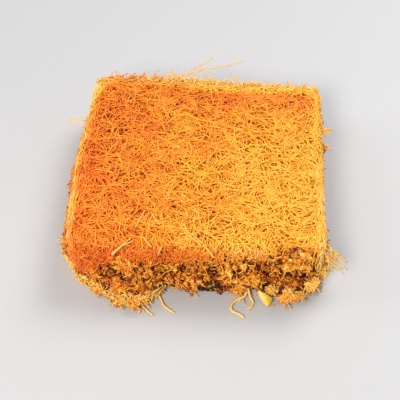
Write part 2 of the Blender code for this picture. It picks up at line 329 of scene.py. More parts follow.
@dataclass(frozen=True)
class Build:
    """How the layers change from place to place round the side."""

    crust_hangs_at: tuple = (0, 45, 135, 150, 214, 222, 228.5, 232, 236, 241, 250, 256, 263, 270, 277,
                             286, 293, 298, 304, 307, 315, 322, 335, 360)
    crust_hangs: tuple = (12, 13, 14, 22, 26, 31, 29, 18, 12.5, 9.5, 13.5, 14.5, 15, 12.5, 14,
                          7.5, 7.5, 9, 6, 4.5, 4, 10, 15, 12)  # millimetres
    strand_foot_at: tuple = (0, 252, 260, 300, 308, 360)
    strand_foot: tuple = (1, 1, 0.12, 0.12, 1, 1)  # share of the foot that is strands, not crumbs
    ragged: float = 0.0034  # how much the crust's lower edge goes up and down
    ragged_size: float = 0.011

    def hang(self, angle: Array) -> Array:
        """How far below the top the crust's strands hang, for directions in radians."""
        return np.interp(degrees_round(angle), self.crust_hangs_at, self.crust_hangs) / 1000

    def foot(self, angle: Array) -> Array:
        """Which share of the foot is made of strands, for directions in radians."""
        return np.interp(degrees_round(angle), self.strand_foot_at, self.strand_foot)

    def in_crust(self, form: SlabForm, slack: float = 0.0) -> Rule:
        """A test for points of the flat sheet that belong to a crust that hangs lower by slack."""

        def test(flat: Array) -> Array:
            """Whether points lie above the ragged lower edge."""
            angle, drop = form.unfold(flat)
            return drop < (self.hang(angle) + slack + self.ragged * waves(flat, self.ragged_size, 5.0)
                           + 0.5 * self.ragged * waves(flat, 0.004, 2.0))

        return test


@dataclass(frozen=True)
class Crags:
    """Heaps and hollows of the crumbly cut sides, deepest at the front."""

    clump: float = 0.0085
    front_hollow: float = 0.0085
    other_hollow: float = 0.0042
    foot_height: float = 0.0085
    foot_share: float = 0.25  # how deep the hollows are at the foot of the middle, as a share
    level: float = 0.5  # how full the sides are on the whole
    broad: float = 1.3  # how much the broad clumps change that, and how much less at the front
    broad_less: float = 0.4
    fine: float = 0.95
    heap: float = 0.95  # how much each heap adds at the front, and each hollow takes
    hollow: float = 1.25
    front_at: tuple = (216, 224, 318, 324)  # where the cut front begins and ends, in degrees
    middle_at: tuple = (256, 262, 299, 304)  # where its foot is of crumbs
    # What stands out or falls back at the front: across, up and radius, in millimetres.
    heaps: tuple = (
        (-14.5, 24.5, 4), (-10.6, 7, 3.5), (-1.7, 1, 2.5), (-27.5, 12.5, 4.5), (22, 20.5, 4.5),
        (30.5, 2, 3), (41, 13.6, 3.2), (69, 33, 4.5), (62, 30, 3), (62, 2, 4), (-43, 29, 3), (-31, 22, 3.5),
        (-37, 25.5, 3), (-44.5, 23, 2.2), (-51, 25.5, 2.2), (-47, 9, 3.5), (1, 22, 2.2), (-0.5, 28.5, 3.3),
        (-54, 10.5, 3.8), (-71, 16, 4), (19.4, 14, 3), (55.5, 26.5, 3), (70, 23, 3), (27.5, 36, 2.5),
        (-34, 10, 2.5), (44, 32, 2.2), (-22, 24, 2), (8.5, 24.5, 2.2), (-53, 30, 2), (-60.5, 23, 1.8),
        (14.8, 29, 2.5), (26.2, 13, 2.5), (-18, 9, 2.6), (34, 14, 2), (34, 35, 2), (77, 36, 2),
        (-12.8, 22.5, 2.2), (-59.6, 11, 2.2), (69.5, 25, 2.2), (75.2, 28, 2), (-29, 11, 2), (-1.4, 25, 2),
        (1.1, 12, 2.2), (16.2, 9, 2), (-41.7, 20.5, 2), (62, 7, 2), (-50.5, 28, 1.8),
    )
    hollows: tuple = (
        (-7.5, 24.8, 3.6), (8.5, 4, 7), (-22.8, 18.5, 2.8), (-12, 0, 4), (20, 32.6, 2), (27, 20, 2.5),
        (-65, 21, 2.8), (-57.5, 28.5, 2.6), (-64, 13, 2.2), (-48.5, 20, 2.6), (-33.5, 17, 3),
        (-34.5, 31, 2.6), (-42, 34.5, 2.4), (-51, 34, 2.4), (-39, 14.5, 2.2), (35, 21, 2.5), (49, 8, 4.5),
        (62, 15, 7.5), (53, 14, 5), (72, 17, 4), (58, 40, 1.6), (50, 33, 2.2), (56, 35, 2.8), (80, 26, 3.4),
        (12.6, 19, 3), (29.5, 8, 2.5), (45, 26, 2), (69.3, 10, 3), (35.5, 28, 2.2), (37, 2, 3),
        (-19, 1.5, 3.5), (-16.5, 14.5, 2.4), (3, 23.5, 1.6), (77.3, 21, 2.5), (61.5, 24, 2.5),
        (67, 39, 1.6), (19, 34, 2.2), (-6.8, 17, 2.2), (58, 11, 3), (39.5, 30, 2), (28.7, 9, 2.2),
        (-24.8, 4, 2.4), (-48.6, 15.5, 2), (66.2, 38, 1.8), (21.5, 36, 1.8), (-27.5, 26, 2), (50.8, 7, 2.2),
        (0.4, 19, 1.8), (-4.4, 8, 2), (15.7, 2, 2.4), (15.9, 17, 2), (9.4, 13, 2.4), (-21.2, 11, 2),
        (-7.5, 15.5, 2),
    )

    def front(self, angle: Array) -> Array:
        """How far directions in radians are of the cut front, from 0 to 1."""
        return np.interp(degrees_round(angle), self.front_at, ON_BETWEEN)

    def fill(self, spots: Array, front: Array) -> Array:
        """How full the side is, from 0 in a hollow to 1 on a heap.

        Args:
            spots: points (..., 3) on the side.
            front: from 0 to 1, how far the front's own heaps and hollows hold there.

        Returns:
            One value for each point.
        """
        broad, fine = waves(spots, self.clump, 3.7), waves(spots, 0.42 * self.clump, 9.1)
        lumps = self.heap * self._bumps(spots, self.heaps) - self.hollow * self._bumps(spots, self.hollows)
        level = self.level - 0.04 * front
        clumps = (self.broad - self.broad_less * front) * broad
        return np.clip(level + clumps + self.fine * fine + front * lumps, 0.0, 1.0)

    @staticmethod
    def _bumps(spots: Array, places: tuple) -> Array:
        """The sum of smooth bumps of height 1 at places given in millimetres."""
        across, up = spots[..., 0] * 1000, spots[..., 2] * 1000
        return sum(np.exp(-((across - x) ** 2 + (up - z) ** 2) / r**2) for x, z, r in places)

    def sunk(self, form: SlabForm, angle: Array, height: Array) -> tuple[Array, Array]:
        """How far the crumbly surface lies inside the slab's side, and how full it is there.

        Args:
            form: the slab's form.
            angle: directions from the middle, in radians.
            height: heights above the underside.

        Returns:
            Distances in metres, and fullness from 0 to 1.
        """
        front = self.front(angle)
        full = self.fill(form.side_frame(angle, height)[0], front)
        middle = np.interp(degrees_round(angle), self.middle_at, ON_BETWEEN)
        deepest = self.other_hollow + (self.front_hollow - self.other_hollow) * front
        foot = middle * np.clip(1.0 - height / self.foot_height, 0.0, 1.0)
        return deepest * (1.0 - (1.0 - self.foot_share) * foot) * (1.0 - full), full


# ---- meshes from arrays


@dataclass
class Bundle:
    """Many strands gathered into one mesh."""

    form: SlabForm
    sides: int = 4
    points: list[Array] = field(default_factory=list)
    faces: list[list[int]] = field(default_factory=list)
    maps: list[Array] = field(default_factory=list)
    tones: list[Array] = field(default_factory=list)
    browns: list[Array] = field(default_factory=list)
    strands: int = 0
    total: int = 0

    def add(self, strands: Strands, tone: Array, brown: Array) -> None:
        """Add strands that all have the same number of points.

        Args:
            strands: centre lines (strands, points, 3), a direction square to the strand at each
                point, and its thickness there.
            tone: lightness of each strand from 0 to 1.
            brown: how browned each point is, (strands, points).
        """
        routes, upward, widths = strands
        count, length = routes.shape[:2]
        routes = self.form.held(routes, widths)
        forward = unit(np.gradient(routes, axis=1))
        across = unit(np.cross(forward, upward))
        up = np.cross(across, forward)
        turn = np.arange(self.sides) * math.tau / self.sides
        ring = across[:, :, None] * np.cos(turn)[:, None] + up[:, :, None] * np.sin(turn)[:, None]
        spots = routes[:, :, None] + ring * widths[:, :, None, None] / 2
        index = self.total + np.arange(count * length * self.sides).reshape(count, length, self.sides)
        after = np.roll(index, -1, axis=2)
        walls = np.stack([index[:, :-1], index[:, 1:], after[:, 1:], after[:, :-1]], axis=-1)
        self.faces += walls.reshape(-1, 4).tolist()
        self.faces += index[:, 0].tolist()
        self.faces += index[:, -1, ::-1].tolist()
        self._map(count, length)
        self.points.append(spots.reshape(-1, 3))
        self.tones.append(np.repeat(np.clip(tone, 0, 1), length * self.sides))
        self.browns.append(np.repeat(np.clip(brown, 0, 1).reshape(-1), self.sides))
        self.strands += count
        self.total += count * length * self.sides

    def _map(self, count: int, length: int) -> None:
        """Lay the faces of each new strand apart from each other in a cell of the bake map.

        Args:
            count: how many strands.
            length: how many points on each.
        """
        u = np.linspace(0.08, 0.92, length)
        v = np.linspace(0.06, 0.94, self.sides + 1)
        near_u, near_v = np.meshgrid(u[:-1], v[:-1], indexing="ij")
        far_u, far_v = np.meshgrid(u[1:], v[1:], indexing="ij")
        walls = np.stack([near_u, near_v, far_u, near_v, far_u, far_v, near_u, far_v], axis=-1)
        turn = np.arange(self.sides) * math.tau / self.sides + math.pi / self.sides
        disc = np.stack([0.025 * np.cos(turn), 0.3 * np.sin(turn)], axis=-1)
        cells = self.strands + np.arange(count)
        for part in (walls.reshape(-1, 2), disc + (0.04, 0.5), disc[::-1] + (0.96, 0.5)):
            self.maps.append(np.column_stack([np.repeat(cells, len(part)), np.tile(part, (count, 1))]))

    def object(self, name: str, material: Skin) -> Piece:
        """Make the gathered strands one object in the scene, with one material."""
        traits = {"tone": np.concatenate(self.tones), "brown": np.concatenate(self.browns)}
        return joined_object(name, material, np.concatenate(self.points), self.faces,
                             np.concatenate(self.maps), traits)


def joined_object(name: str, material: Skin, points: Array, faces: list[list[int]],
                  places: Array, traits: dict[str, Array]) -> Piece:
    """Make one smooth-shaded object from arrays.

    Args:
        name: the object's name.
        material: its only material.
        points: its points (n, 3).
        faces: for each face its points in order.
        places: for each corner its cell's number and its place in the cell, both for the bake map.
        traits: attribute name to one value for each point.

    Returns:
        The new object, in the scene.
    """
    mesh = bpy.data.meshes.new(name)
    mesh.from_pydata(points.tolist(), [], faces)
    mesh.materials.append(material)
    for trait, values in traits.items():
        set_trait(mesh, trait, values)
    cell = places[:, 0].astype(int)
    columns = math.ceil(math.sqrt(cell.max() + 1))
    corner = np.column_stack([cell % columns, cell // columns])
    set_map(mesh, (corner + places[:, 1:]) / columns)
    mesh.shade_smooth()
    mesh.update()
    obj = bpy.data.objects.new(name, mesh)
    bpy.context.scene.collection.objects.link(obj)
    return obj


def set_trait(mesh: Mesh, name: str, values: Array) -> None:
    """Store a number for each point of a mesh."""
    layer = mesh.attributes.new(name, "FLOAT", "POINT")
    layer.data.foreach_set("value", values.astype(np.float32))


def set_map(mesh: Mesh, chart: Array) -> None:
    """Store the bake map: where in it each corner of a face lies."""
    layer = mesh.uv_layers.new(name=BAKE_MAP)
    layer.data.foreach_set("uv", chart.astype(np.float32).ravel())


def modelled(name: str, primitive: Callable, **sizes: object) -> Piece:
    """Model a plain solid, selected alone, to be worked on further.

    Args:
        name: the name of the object and its mesh.
        primitive: the operator that adds the solid.
        sizes: what the operator is given.

    Returns:
        The new object.
    """
    bpy.ops.object.select_all(action="DESELECT")
    primitive(**sizes)
    obj = bpy.context.active_object
    obj.name = obj.data.name = name
    return obj


@dataclass
class Rubble:
    """Many rough crumbs gathered into one mesh."""

    chunky: bool = False
    roughness: float = 0.28  # how far the points of a crumb go in and out, as a share
    points: list[Array] = field(default_factory=list)
    tones: list[Array] = field(default_factory=list)
    greens: list[Array] = field(default_factory=list)

    def __post_init__(self) -> None:
        """Model the crumb that all the others vary."""
        if self.chunky:
            pattern = modelled("crumb", bpy.ops.mesh.primitive_cube_add, size=1.3)
            bpy.ops.object.mode_set(mode="EDIT")
            bpy.ops.mesh.subdivide(number_cuts=1, smoothness=1.0)
            bpy.ops.mesh.quads_convert_to_tris()
            bpy.ops.object.mode_set(mode="OBJECT")
        else:
            pattern = modelled("crumb", bpy.ops.mesh.primitive_ico_sphere_add, subdivisions=1, radius=1.0)
        self.ball = unit(np.array([v.co[:] for v in pattern.data.vertices]))
        self.walls = np.array([list(p.vertices) for p in pattern.data.polygons])
        bpy.data.objects.remove(pattern, do_unlink=True)

    def add(self, places: Array, sizes: Array, tone: Array,
            draw: Draw, green: float | Array = 0.0) -> None:
        """Add one crumb at each place.

        Args:
            places: centres (crumbs, 3).
            sizes: mean radius of each.
            tone: lightness of each from 0 to 1.
            draw: the source of randomness.
            green: which share of them is greenish, for all or for each.
        """
        count = len(places)
        swell = 1.0 + self.roughness * draw.uniform(-1, 1, (count, len(self.ball), 1))
        stretch = draw.uniform((0.9, 0.65, 0.45), (1.35, 1.05, 0.9), (count, 3))[:, None]
        shape = self.ball * swell * stretch * sizes[:, None, None]
        spots = np.einsum("cij,cvj->cvi", rotations(count, draw), shape) + places[:, None]
        spots[..., 2] = np.maximum(spots[..., 2], 0.0001)
        self.points.append(spots)
        self.tones.append(np.repeat(np.clip(tone, 0, 1), len(self.ball)))
        self.greens.append(np.repeat(draw.uniform(0, 1, count) < green, len(self.ball)))

    def object(self, name: str, material: Skin) -> Piece:
        """Make the gathered crumbs one object.

        Args:
            name: the object's name.
            material: its only material.

        Returns:
            The new object, in the scene.
        """
        spots = np.concatenate(self.points)
        count = len(spots)
        faces = (self.walls[None] + np.arange(count)[:, None, None] * len(self.ball)).reshape(-1, 3)
        columns = math.ceil(math.sqrt(len(self.walls)))
        square = np.arange(len(self.walls))
        corner = np.column_stack([square % columns, square // columns])[:, None]
        triangle = np.array([(0.08, 0.08), (0.92, 0.08), (0.08, 0.92)])
        part = ((corner + triangle) / columns).reshape(-1, 2)
        places = np.column_stack([np.repeat(np.arange(count), len(part)), np.tile(part, (count, 1))])
        traits = {"tone": np.concatenate(self.tones), "green": np.concatenate(self.greens)}
        obj = joined_object(name, material, spots.reshape(-1, 3), faces.tolist(), places, traits)
        obj.data.shade_flat()
        return obj


def rotations(count: int, draw: Draw) -> Array:
    """Random turns in space as matrices (count, 3, 3)."""
    w, x, y, z = unit(draw.normal(size=(count, 4))).T
    return np.stack([
        np.stack([1 - 2 * (y * y + z * z), 2 * (x * y - z * w), 2 * (x * z + y * w)], -1),
        np.stack([2 * (x * y + z * w), 1 - 2 * (x * x + z * z), 2 * (y * z - x * w)], -1),
        np.stack([2 * (x * z - y * w), 2 * (y * z + x * w), 1 - 2 * (x * x + y * y)], -1),
    ], axis=1)


# ---- shaders


class Value:
    """A shader socket that takes part in Python expressions."""

    def __init__(self, writer: "Shader", socket: bpy.types.NodeSocket | None) -> None:
        """Wrap a socket of a material that writer builds."""
        self.writer = writer
        self.socket = socket

    def _maths(self, operation: str, *terms: "Value | float") -> "Value":
        """A Math node on this value and others."""
        return self.writer.node("ShaderNodeMath", {"operation": operation}, dict(enumerate(terms)))

    def __add__(self, other: "Value | float") -> "Value":
        """self + other."""
        return self._maths("ADD", self, other)

    __radd__ = __add__

    def __sub__(self, other: "Value | float") -> "Value":
        """self - other."""
        return self._maths("SUBTRACT", self, other)

    def __mul__(self, other: "Value | float") -> "Value":
        """self * other."""
        return self._maths("MULTIPLY", self, other)

    def clamped(self) -> "Value":
        """The value kept between 0 and 1."""
        return self._maths("MINIMUM", self._maths("MAXIMUM", self, 0.0), 1.0)


class Shader:
    """Builds one material's nodes."""

    def __init__(self, name: str) -> None:
        """Start an empty material.

        Args:
            name: the material's name.
        """
        self.material = bpy.data.materials.new(name)
        self.material.use_nodes = True
        self.tree = self.material.node_tree
        self.tree.nodes.clear()

    def node(self, kind: str, settings: dict | None = None, inputs: dict | None = None,
             output: str | int = 0) -> Value:
        """Add a node.

        Args:
            kind: the node's type.
            settings: its own settings, such as operation or a ramp's stops, set first.
            inputs: socket name or number to a value or a link.
            output: the socket that the result wraps.

        Returns:
            The chosen output.
        """
        made = self.tree.nodes.new(kind)
        for key, setting in (settings or {}).items():
            if key == "stops":
                self._stops(made.color_ramp, setting)
            else:
                setattr(made, key, setting)
        for key, given in (inputs or {}).items():
            if isinstance(given, Value):
                self.tree.links.new(given.socket, made.inputs[key])
            else:
                made.inputs[key].default_value = given
        return Value(self, made.outputs[output] if made.outputs else None)

    @staticmethod
    def _stops(ramp: bpy.types.ColorRamp, stops: tuple) -> None:
        """Set a ramp's stops, each (place, (red, green, blue))."""
        while len(ramp.elements) < len(stops):
            ramp.elements.new(1.0)
        for element, (place, colour) in zip(ramp.elements, stops):
            element.position = place
            element.color = (*colour, 1.0)

    def ramp(self, value: Value, stops: tuple) -> Value:
        """A colour looked up from a value between 0 and 1."""
        return self.node("ShaderNodeValToRGB", {"stops": stops}, {"Fac": value})

    def trait(self, name: str) -> Value:
        """A number stored on the mesh's points."""
        return self.node("ShaderNodeAttribute", {"attribute_name": name}, output="Fac")

    def cloud(self, scale: float, detail: float = 2.0) -> Value:
        """Noise from 0 to 1 with this many waves to the metre."""
        place = self.node("ShaderNodeTexCoord", output="Object")
        return self.node("ShaderNodeTexNoise", {}, {"Vector": place, "Scale": scale, "Detail": detail},
                         output="Fac")

    def across(self) -> Value:
        """The place across the slab, in metres from its middle."""
        place = self.node("ShaderNodeTexCoord", output="Object")
        return self.node("ShaderNodeSeparateXYZ", {}, {"Vector": place}, output="X")

    def tinted(self, colour: Value, by: Value, low: Colour, high: Colour) -> Value:
        """A colour multiplied by a tint that goes from low to high as the value by goes from 0 to 1."""
        tint = self.ramp(by, ((0.0, low), (1.0, high)))
        return self.node("ShaderNodeVectorMath", {"operation": "MULTIPLY"}, {0: colour, 1: tint})

    def mixed(self, share: Value, first: Value, second: Colour) -> Value:
        """The first colour where the share is 0, the second where it is 1."""
        inputs = {"Factor": share, 6: first, 7: (*second, 1.0)}
        return self.node("ShaderNodeMix", {"data_type": "RGBA"}, inputs, output=2)

    def bump(self, height: Value, distance: float, strength: float) -> Value:
        """A normal from a height of 0 to 1 that stands for a distance in metres."""
        return self.node("ShaderNodeBump", {}, {
            "Height": height, "Distance": distance, "Strength": strength})

    def finish(self, **inputs: object) -> Skin:
        """End the material with one Principled shader.

        Args:
            inputs: socket names, with _ for a space, to values or links.

        Returns:
            The material.
        """
        named = {key.replace("_", " "): given for key, given in inputs.items()}
        surface = self.node("ShaderNodeBsdfPrincipled", {}, named)
        self.node("ShaderNodeOutputMaterial", {}, {"Surface": surface})
        return self.material


@dataclass(frozen=True)
class StrandFinish:
    """Shredded pastry baked in syrup, from pale gold to a browned orange, with flecks of painted glint."""

    name: str
    pale: Colour = (0.98, 0.5, 0.038)
    golden: Colour = (0.98, 0.43, 0.022)
    orange: Colour = (0.98, 0.298, 0.0105)
    brown: Colour = (0.9, 0.175, 0.007)
    dark: Colour = (0.55, 0.34, 0.15)  # what the dullest strands are multiplied by
    light: Colour = (1.0, 1.0, 1.0)
    # painted glint: pinkish cream flecks that stand for highlights on the syrup
    painted_glint: Colour = (1.0, 0.62, 0.24)
    painted_glint_share: float = 0.34  # how far the flecks of painted glint take its colour
    roughness: float = 0.44
    blotches: float = 0.28
    gloss: float = 1.0

    def material(self) -> Skin:
        """Build the material.

        Returns:
            The material.
        """
        shader = Shader(self.name)
        brown = (shader.trait("brown") + (shader.cloud(420.0, 3.0) - 0.5) * self.blotches).clamped()
        colour = shader.ramp(brown, (
            (0.0, self.pale), (0.33, self.golden), (0.66, self.orange), (1.0, self.brown)))
        # small flecks of painted highlight
        glints = ((shader.cloud(1300.0) - 0.55) * 6.0).clamped() * self.painted_glint_share
        colour = shader.mixed(glints, colour, self.painted_glint)
        colour = shader.tinted(colour, shader.trait("tone"), self.dark, self.light)
        grain = shader.cloud(2600.0)
        return shader.finish(
            Base_Color=colour,
            Roughness=self.roughness + (grain - 0.5) * 0.25,
            Normal=shader.bump(grain, 0.0002, 0.5),
            Specular_IOR_Level=0.25 * self.gloss,
            Coat_Weight=0.25 * self.gloss,
            Coat_Roughness=0.22,
        )


@dataclass(frozen=True)
class CoreFinish:
    """The depth between strands or crumbs: dark in the hollows as painted shade, golden where it is full.
    """

    name: str
    dark: Colour
    middle: Colour
    light: Colour
    grain: float = 900.0

    def material(self) -> Skin:
        """Build the material.

        Returns:
            The material.
        """
        shader = Shader(self.name)
        threads = shader.cloud(self.grain, 4.0)
        patches = shader.cloud(160.0)
        # the emptier the side, the darker: painted shade in the hollows
        mix = (shader.trait("full") * 0.75 + threads * 0.5 + patches * 0.3 - 0.35).clamped()
        return shader.finish(
            Base_Color=shader.ramp(mix, ((0.15, self.dark), (0.5, self.middle), (0.85, self.light))),
            Roughness=0.6 + (patches - 0.5) * 0.3,
            Specular_IOR_Level=0.15,
            Normal=shader.bump(threads, 0.0008, 0.9),
        )


@dataclass(frozen=True)
class CrumbFinish:
    """Chopped nuts and pastry crumbs, from dark brown, part roasted colour and part painted shade in the
    hollows, to golden and pale.
    """

    name: str
    stops: tuple[tuple[float, Colour], ...] = (
        (0.0, (0.09, 0.008, 0.002)),
        (0.25, (0.34, 0.055, 0.005)),
        (0.5, (0.78, 0.235, 0.01)),
        (0.75, (0.94, 0.42, 0.027)),
        (1.0, (0.98, 0.61, 0.12)),
    )
    green: Colour = (0.42, 0.28, 0.03)
    browned: Colour = (1.0, 0.8, 0.6)  # what they are multiplied by at the left
    browned_from: float = 0.03  # to the left of the middle
    browned_rise: float = -30.0  # for each metre to the right

    def material(self) -> Skin:
        """Build the material.

        Returns:
            The material.
        """
        shader = Shader(self.name)
        lightness = (shader.trait("tone") + (shader.cloud(900.0, 3.0) - 0.5) * 0.25).clamped()
        grain = shader.cloud(2200.0, 3.0)
        colour = shader.mixed(shader.trait("green"), shader.ramp(lightness, self.stops), self.green)
        to_the_left = ((shader.across() + self.browned_from) * self.browned_rise).clamped()
        colour = shader.tinted(colour, to_the_left, (1.0, 1.0, 1.0), self.browned)
        return shader.finish(
            Base_Color=colour,
            Roughness=0.55 + (grain - 0.5) * 0.3,
            Normal=shader.bump(grain, 0.0004, 0.7),
            Specular_IOR_Level=0.3,
            Coat_Weight=0.45,
            Coat_Roughness=0.18,
        )


@dataclass(frozen=True)
class NutFinish:
    """A pale nut, in places greenish yellow."""

    stops: tuple[tuple[float, Colour], ...] = (
        (0.15, (0.93, 0.66, 0.22)), (0.55, (0.86, 0.56, 0.055)), (0.9, (0.74, 0.5, 0.02)))
    mottle: float = 0.8

    def material(self) -> Skin:
        """Build the material.

        Returns:
            The material.
        """
        shader = Shader("pale_nut")
        fine = shader.cloud(2000.0, 3.0)
        patch = (shader.trait("green") + (shader.cloud(500.0, 3.0) - 0.5) * self.mottle).clamped()
        return shader.finish(
            Base_Color=shader.ramp(patch, self.stops),
            Roughness=0.4 + (fine - 0.5) * 0.2,
            Normal=shader.bump(fine, 0.0003, 0.5),
        )


@dataclass(frozen=True)
class FloorFinish:
    """A plain pale table."""

    colour: Colour = (0.5, 0.5, 0.51)
    mottle: float = 0.97

    def material(self) -> Skin:
        """Build the material.

        Returns:
            The material.
        """
        shader = Shader("pale_floor")
        darker = tuple(self.mottle * part for part in self.colour)
        colour = shader.ramp(shader.cloud(3.0), ((0.3, self.colour), (0.7, darker)))
        return shader.finish(Base_Color=colour, Roughness=0.55)


# ---- how the pastry browned


@dataclass(frozen=True)
class Browning:
    """How browned the crust is from place to place: most at the left and along the back, and, partly as
    painted warm shade, down the sides.
    """

    middle: float = 0.45
    to_the_left: float = 5.9  # for each metre
    back_start: float = 0.01
    to_the_back: float = 5.0
    back_more_right: float = 20.5
    to_the_front: float = 1.3
    patch_size: float = 0.028
    patch_depth: float = 0.26
    edge_width: float = 0.0055
    left_loss: float = 0.6  # along the rim, which stayed pale, least at the left
    right_loss: float = 0.95
    back_loss_at: tuple[float, ...] = (-0.07, -0.035, 0.0)
    back_losses: tuple[float, ...] = (0.22, 0.55, 0.95)
    left_rim: float = 0.0056  # how much further out the rim begins at the left
    back_rim_left: float = -0.0026  # how much further in it begins along the back, at the left
    back_rim_right: float = 0.0043
    rim_wander: float = 0.0028
    front_gain: float = 0.28
    side_gain: float = 0.38  # further down the other sides; partly painted warm shade there
    pale_corner: tuple[float, float, float] = (-0.082, 0.072, 0.014)  # across, along and radius
    corner_rim: float = 0.006  # how much further in the rim reaches there
    corner_loss: float = 0.45
    palest: float = 0.13
    brownest: float = 0.95

    def at(self, spots: Array, form: SlabForm) -> Array:
        """Browning from 0, pale, to 1.

        Args:
            spots: points (..., 3) on or near the crust.
            form: the slab's form.

        Returns:
            One value for each point, which may pass 0 and 1 a little.
        """
        x, y, z = np.moveaxis(spots, -1, 0)
        back = self.to_the_back * np.maximum(y - self.back_start, 0) * (1 + self.back_more_right * x)
        brown = self.middle - self.to_the_left * x + back + self.to_the_front * np.minimum(y, 0)
        brown = np.clip(brown, self.palest, self.brownest)
        brown = brown + self.patch_depth * waves(spots[..., :2], self.patch_size, 3.1)
        aside = np.abs(x) - form.top_width / 2 - self.left_rim * (x < 0)
        behind = np.interp(x, (-0.06, 0.01), (self.back_rim_left, self.back_rim_right)) * (y > 0)
        ahead = np.abs(y) - form.top_depth / 2 + behind
        past = np.maximum(aside, ahead)
        across, along, radius = self.pale_corner
        corner = np.exp(-((x - across) ** 2 + (y - along) ** 2) / radius**2)
        past = past + form.rounding + self.rim_wander * waves(spots, 0.01, 8.0) + self.corner_rim * corner
        rim = np.clip(past / self.edge_width + 0.35, 0.0, 1.0)
        loss = np.where(x < 0, self.left_loss, self.right_loss)
        loss = np.where(ahead > aside, np.interp(x, self.back_loss_at, self.back_losses), loss)
        loss = loss + self.corner_loss * corner
        front = np.clip((-y - form.top_depth / 2 + 0.012) / 0.01, 0.0, 1.0)
        front = front * np.clip((form.top_width / 2 - np.abs(x)) / 0.004, 0.0, 1.0)
        low = np.clip((form.height - 0.002 - z) / 0.004, 0.0, 1.0)
        side = (1.0 - front) * np.clip((form.height - 0.006 - z) / 0.008, 0.0, 1.0)
        return (brown - loss * rim * (1.0 - front) + self.front_gain * front * low
                + self.side_gain * side)


# ---- laying strands


@dataclass(frozen=True)
class Mat:
    """A loose mat of strands that lie on the slab's surface."""

    count: int
    lengths: Span
    lifts: Span
    thickness: Span = (0.00085, 0.00115)
    steps: int = 8
    curl: float = 30.0  # radians of turn for each metre, as a spread
    shade: float = 0.0  # how browned, on the crust over what its place gives; in the crust's deeper mats it is partly painted shade
    dullest: float = 0.5  # tone of the dullest strands
    sides: int = 4
    notched: bool = False  # whether the break in the crust's edge is followed
    weave: float = 0.0005  # how far a strand rises and dips along its way
    wander: float = 0.16  # turn from one point to the next, in radians, as a spread
    sheet_reach: float = 0.055  # how far past the top's edges middles are looked for

    def lay(self, form: SlabForm, draw: Draw, within: Rule, heading: Rule | None = None) -> Strands:
        """Lay the strands.

        Args:
            form: the slab's form.
            draw: the source of randomness.
            within: for points of the flat sheet, whether a strand may run there.
            heading: for points of the flat sheet, the directions to lie in, or any way if None.

        Returns:
            The strands.
        """
        flat = np.empty((0, self.steps, 2))
        while len(flat) < self.count:
            tried = self._paths(form, draw, within, heading)
            flat = np.concatenate([flat, tried[within(tried).all(axis=1)]])
        flat = flat[:self.count]
        along = np.linspace(-0.5, 0.5, self.steps)[None] * draw.uniform(*self.lengths, (self.count, 1))
        phase = draw.uniform(0, math.tau, (self.count, 1))
        pitch = draw.uniform(300, 700, (self.count, 1))
        lift = draw.uniform(*self.lifts, self.count)[:, None] + self.weave * np.sin(phase + pitch * along)
        width = draw.uniform(*self.thickness, self.count)[:, None]
        width = width * (1 + 0.12 * np.sin(phase * 3 + pitch * 1.3 * along))
        width[:, [0, -1]] *= 0.75
        out = form.outward(flat, self.notched)
        return form.fold(flat, self.notched) + out * lift[..., None], out, width

    def _paths(self, form: SlabForm, draw: Draw, within: Rule, heading: Rule | None) -> Array:
        """Draw curved paths on the flat sheet, more than are needed.

        Args:
            form: the slab's form.
            draw: the source of randomness.
            within: whether a path's middle may be at a point.
            heading: the directions to lie in, or any way if None.

        Returns:
            Paths whose middles are allowed, (paths, points, 2).
        """
        reach = np.array([form.top_width, form.top_depth]) / 2 + self.sheet_reach
        middles = draw.uniform(-reach, reach, (3 * self.count, 2))
        middles = middles[within(middles)]
        count = len(middles)
        turn = heading(middles) if heading else draw.uniform(0, math.tau, count)
        length = draw.uniform(*self.lengths, count)
        bend = draw.normal(0, self.curl, count)
        along = np.linspace(-0.5, 0.5, self.steps)[None] * length[:, None]
        ways = turn[:, None] + bend[:, None] * along
        ways += np.cumsum(draw.normal(0, self.wander, ways.shape), axis=1)
        pace = (length / (self.steps - 1))[:, None, None]
        flat = np.cumsum(np.stack([np.cos(ways), np.sin(ways)], axis=-1) * pace, axis=1)
        return flat + middles[:, None] - flat.mean(axis=1, keepdims=True)


@dataclass(frozen=True)
class Spray:
    """Strand ends that stand out from the side along a stretch of it."""

    start: float  # degrees from +X
    end: float
    count: int
    low: float
    high: float
    lengths: Span = (0.004, 0.009)
    fan: float = 0.6  # spread to either side, radians
    droop: float = 0.3  # downward share of the direction
    root: float = 0.002  # how deep they start
    lean: float = 0.0  # how far they turn anticlockwise from straight out, radians
    shade: float = 0.1  # how browned, on the crust over what its place gives
    dullest: float = 0.4  # tone of the dullest strands

    def grow(self, form: SlabForm, draw: Draw, steps: int = 5) -> Strands:
        """Grow the strands.

        Args:
            form: the slab's form.
            draw: the source of randomness.
            steps: points on each strand.

        Returns:
            The strands.
        """
        angle = np.radians(draw.uniform(self.start, self.end, self.count))
        place, out, along = form.side_frame(angle, draw.uniform(self.low, self.high, self.count))
        side = draw.normal(self.lean, self.fan, self.count)[:, None]
        drop = draw.normal(self.droop, 0.35, self.count)[:, None]
        ways = unit(out * np.cos(side) + along * np.sin(side) + (0, 0, -1) * drop)
        lengths = draw.uniform(*self.lengths, self.count)
        return sprout(place - out * self.root, ways, lengths, 0.22, steps, draw)


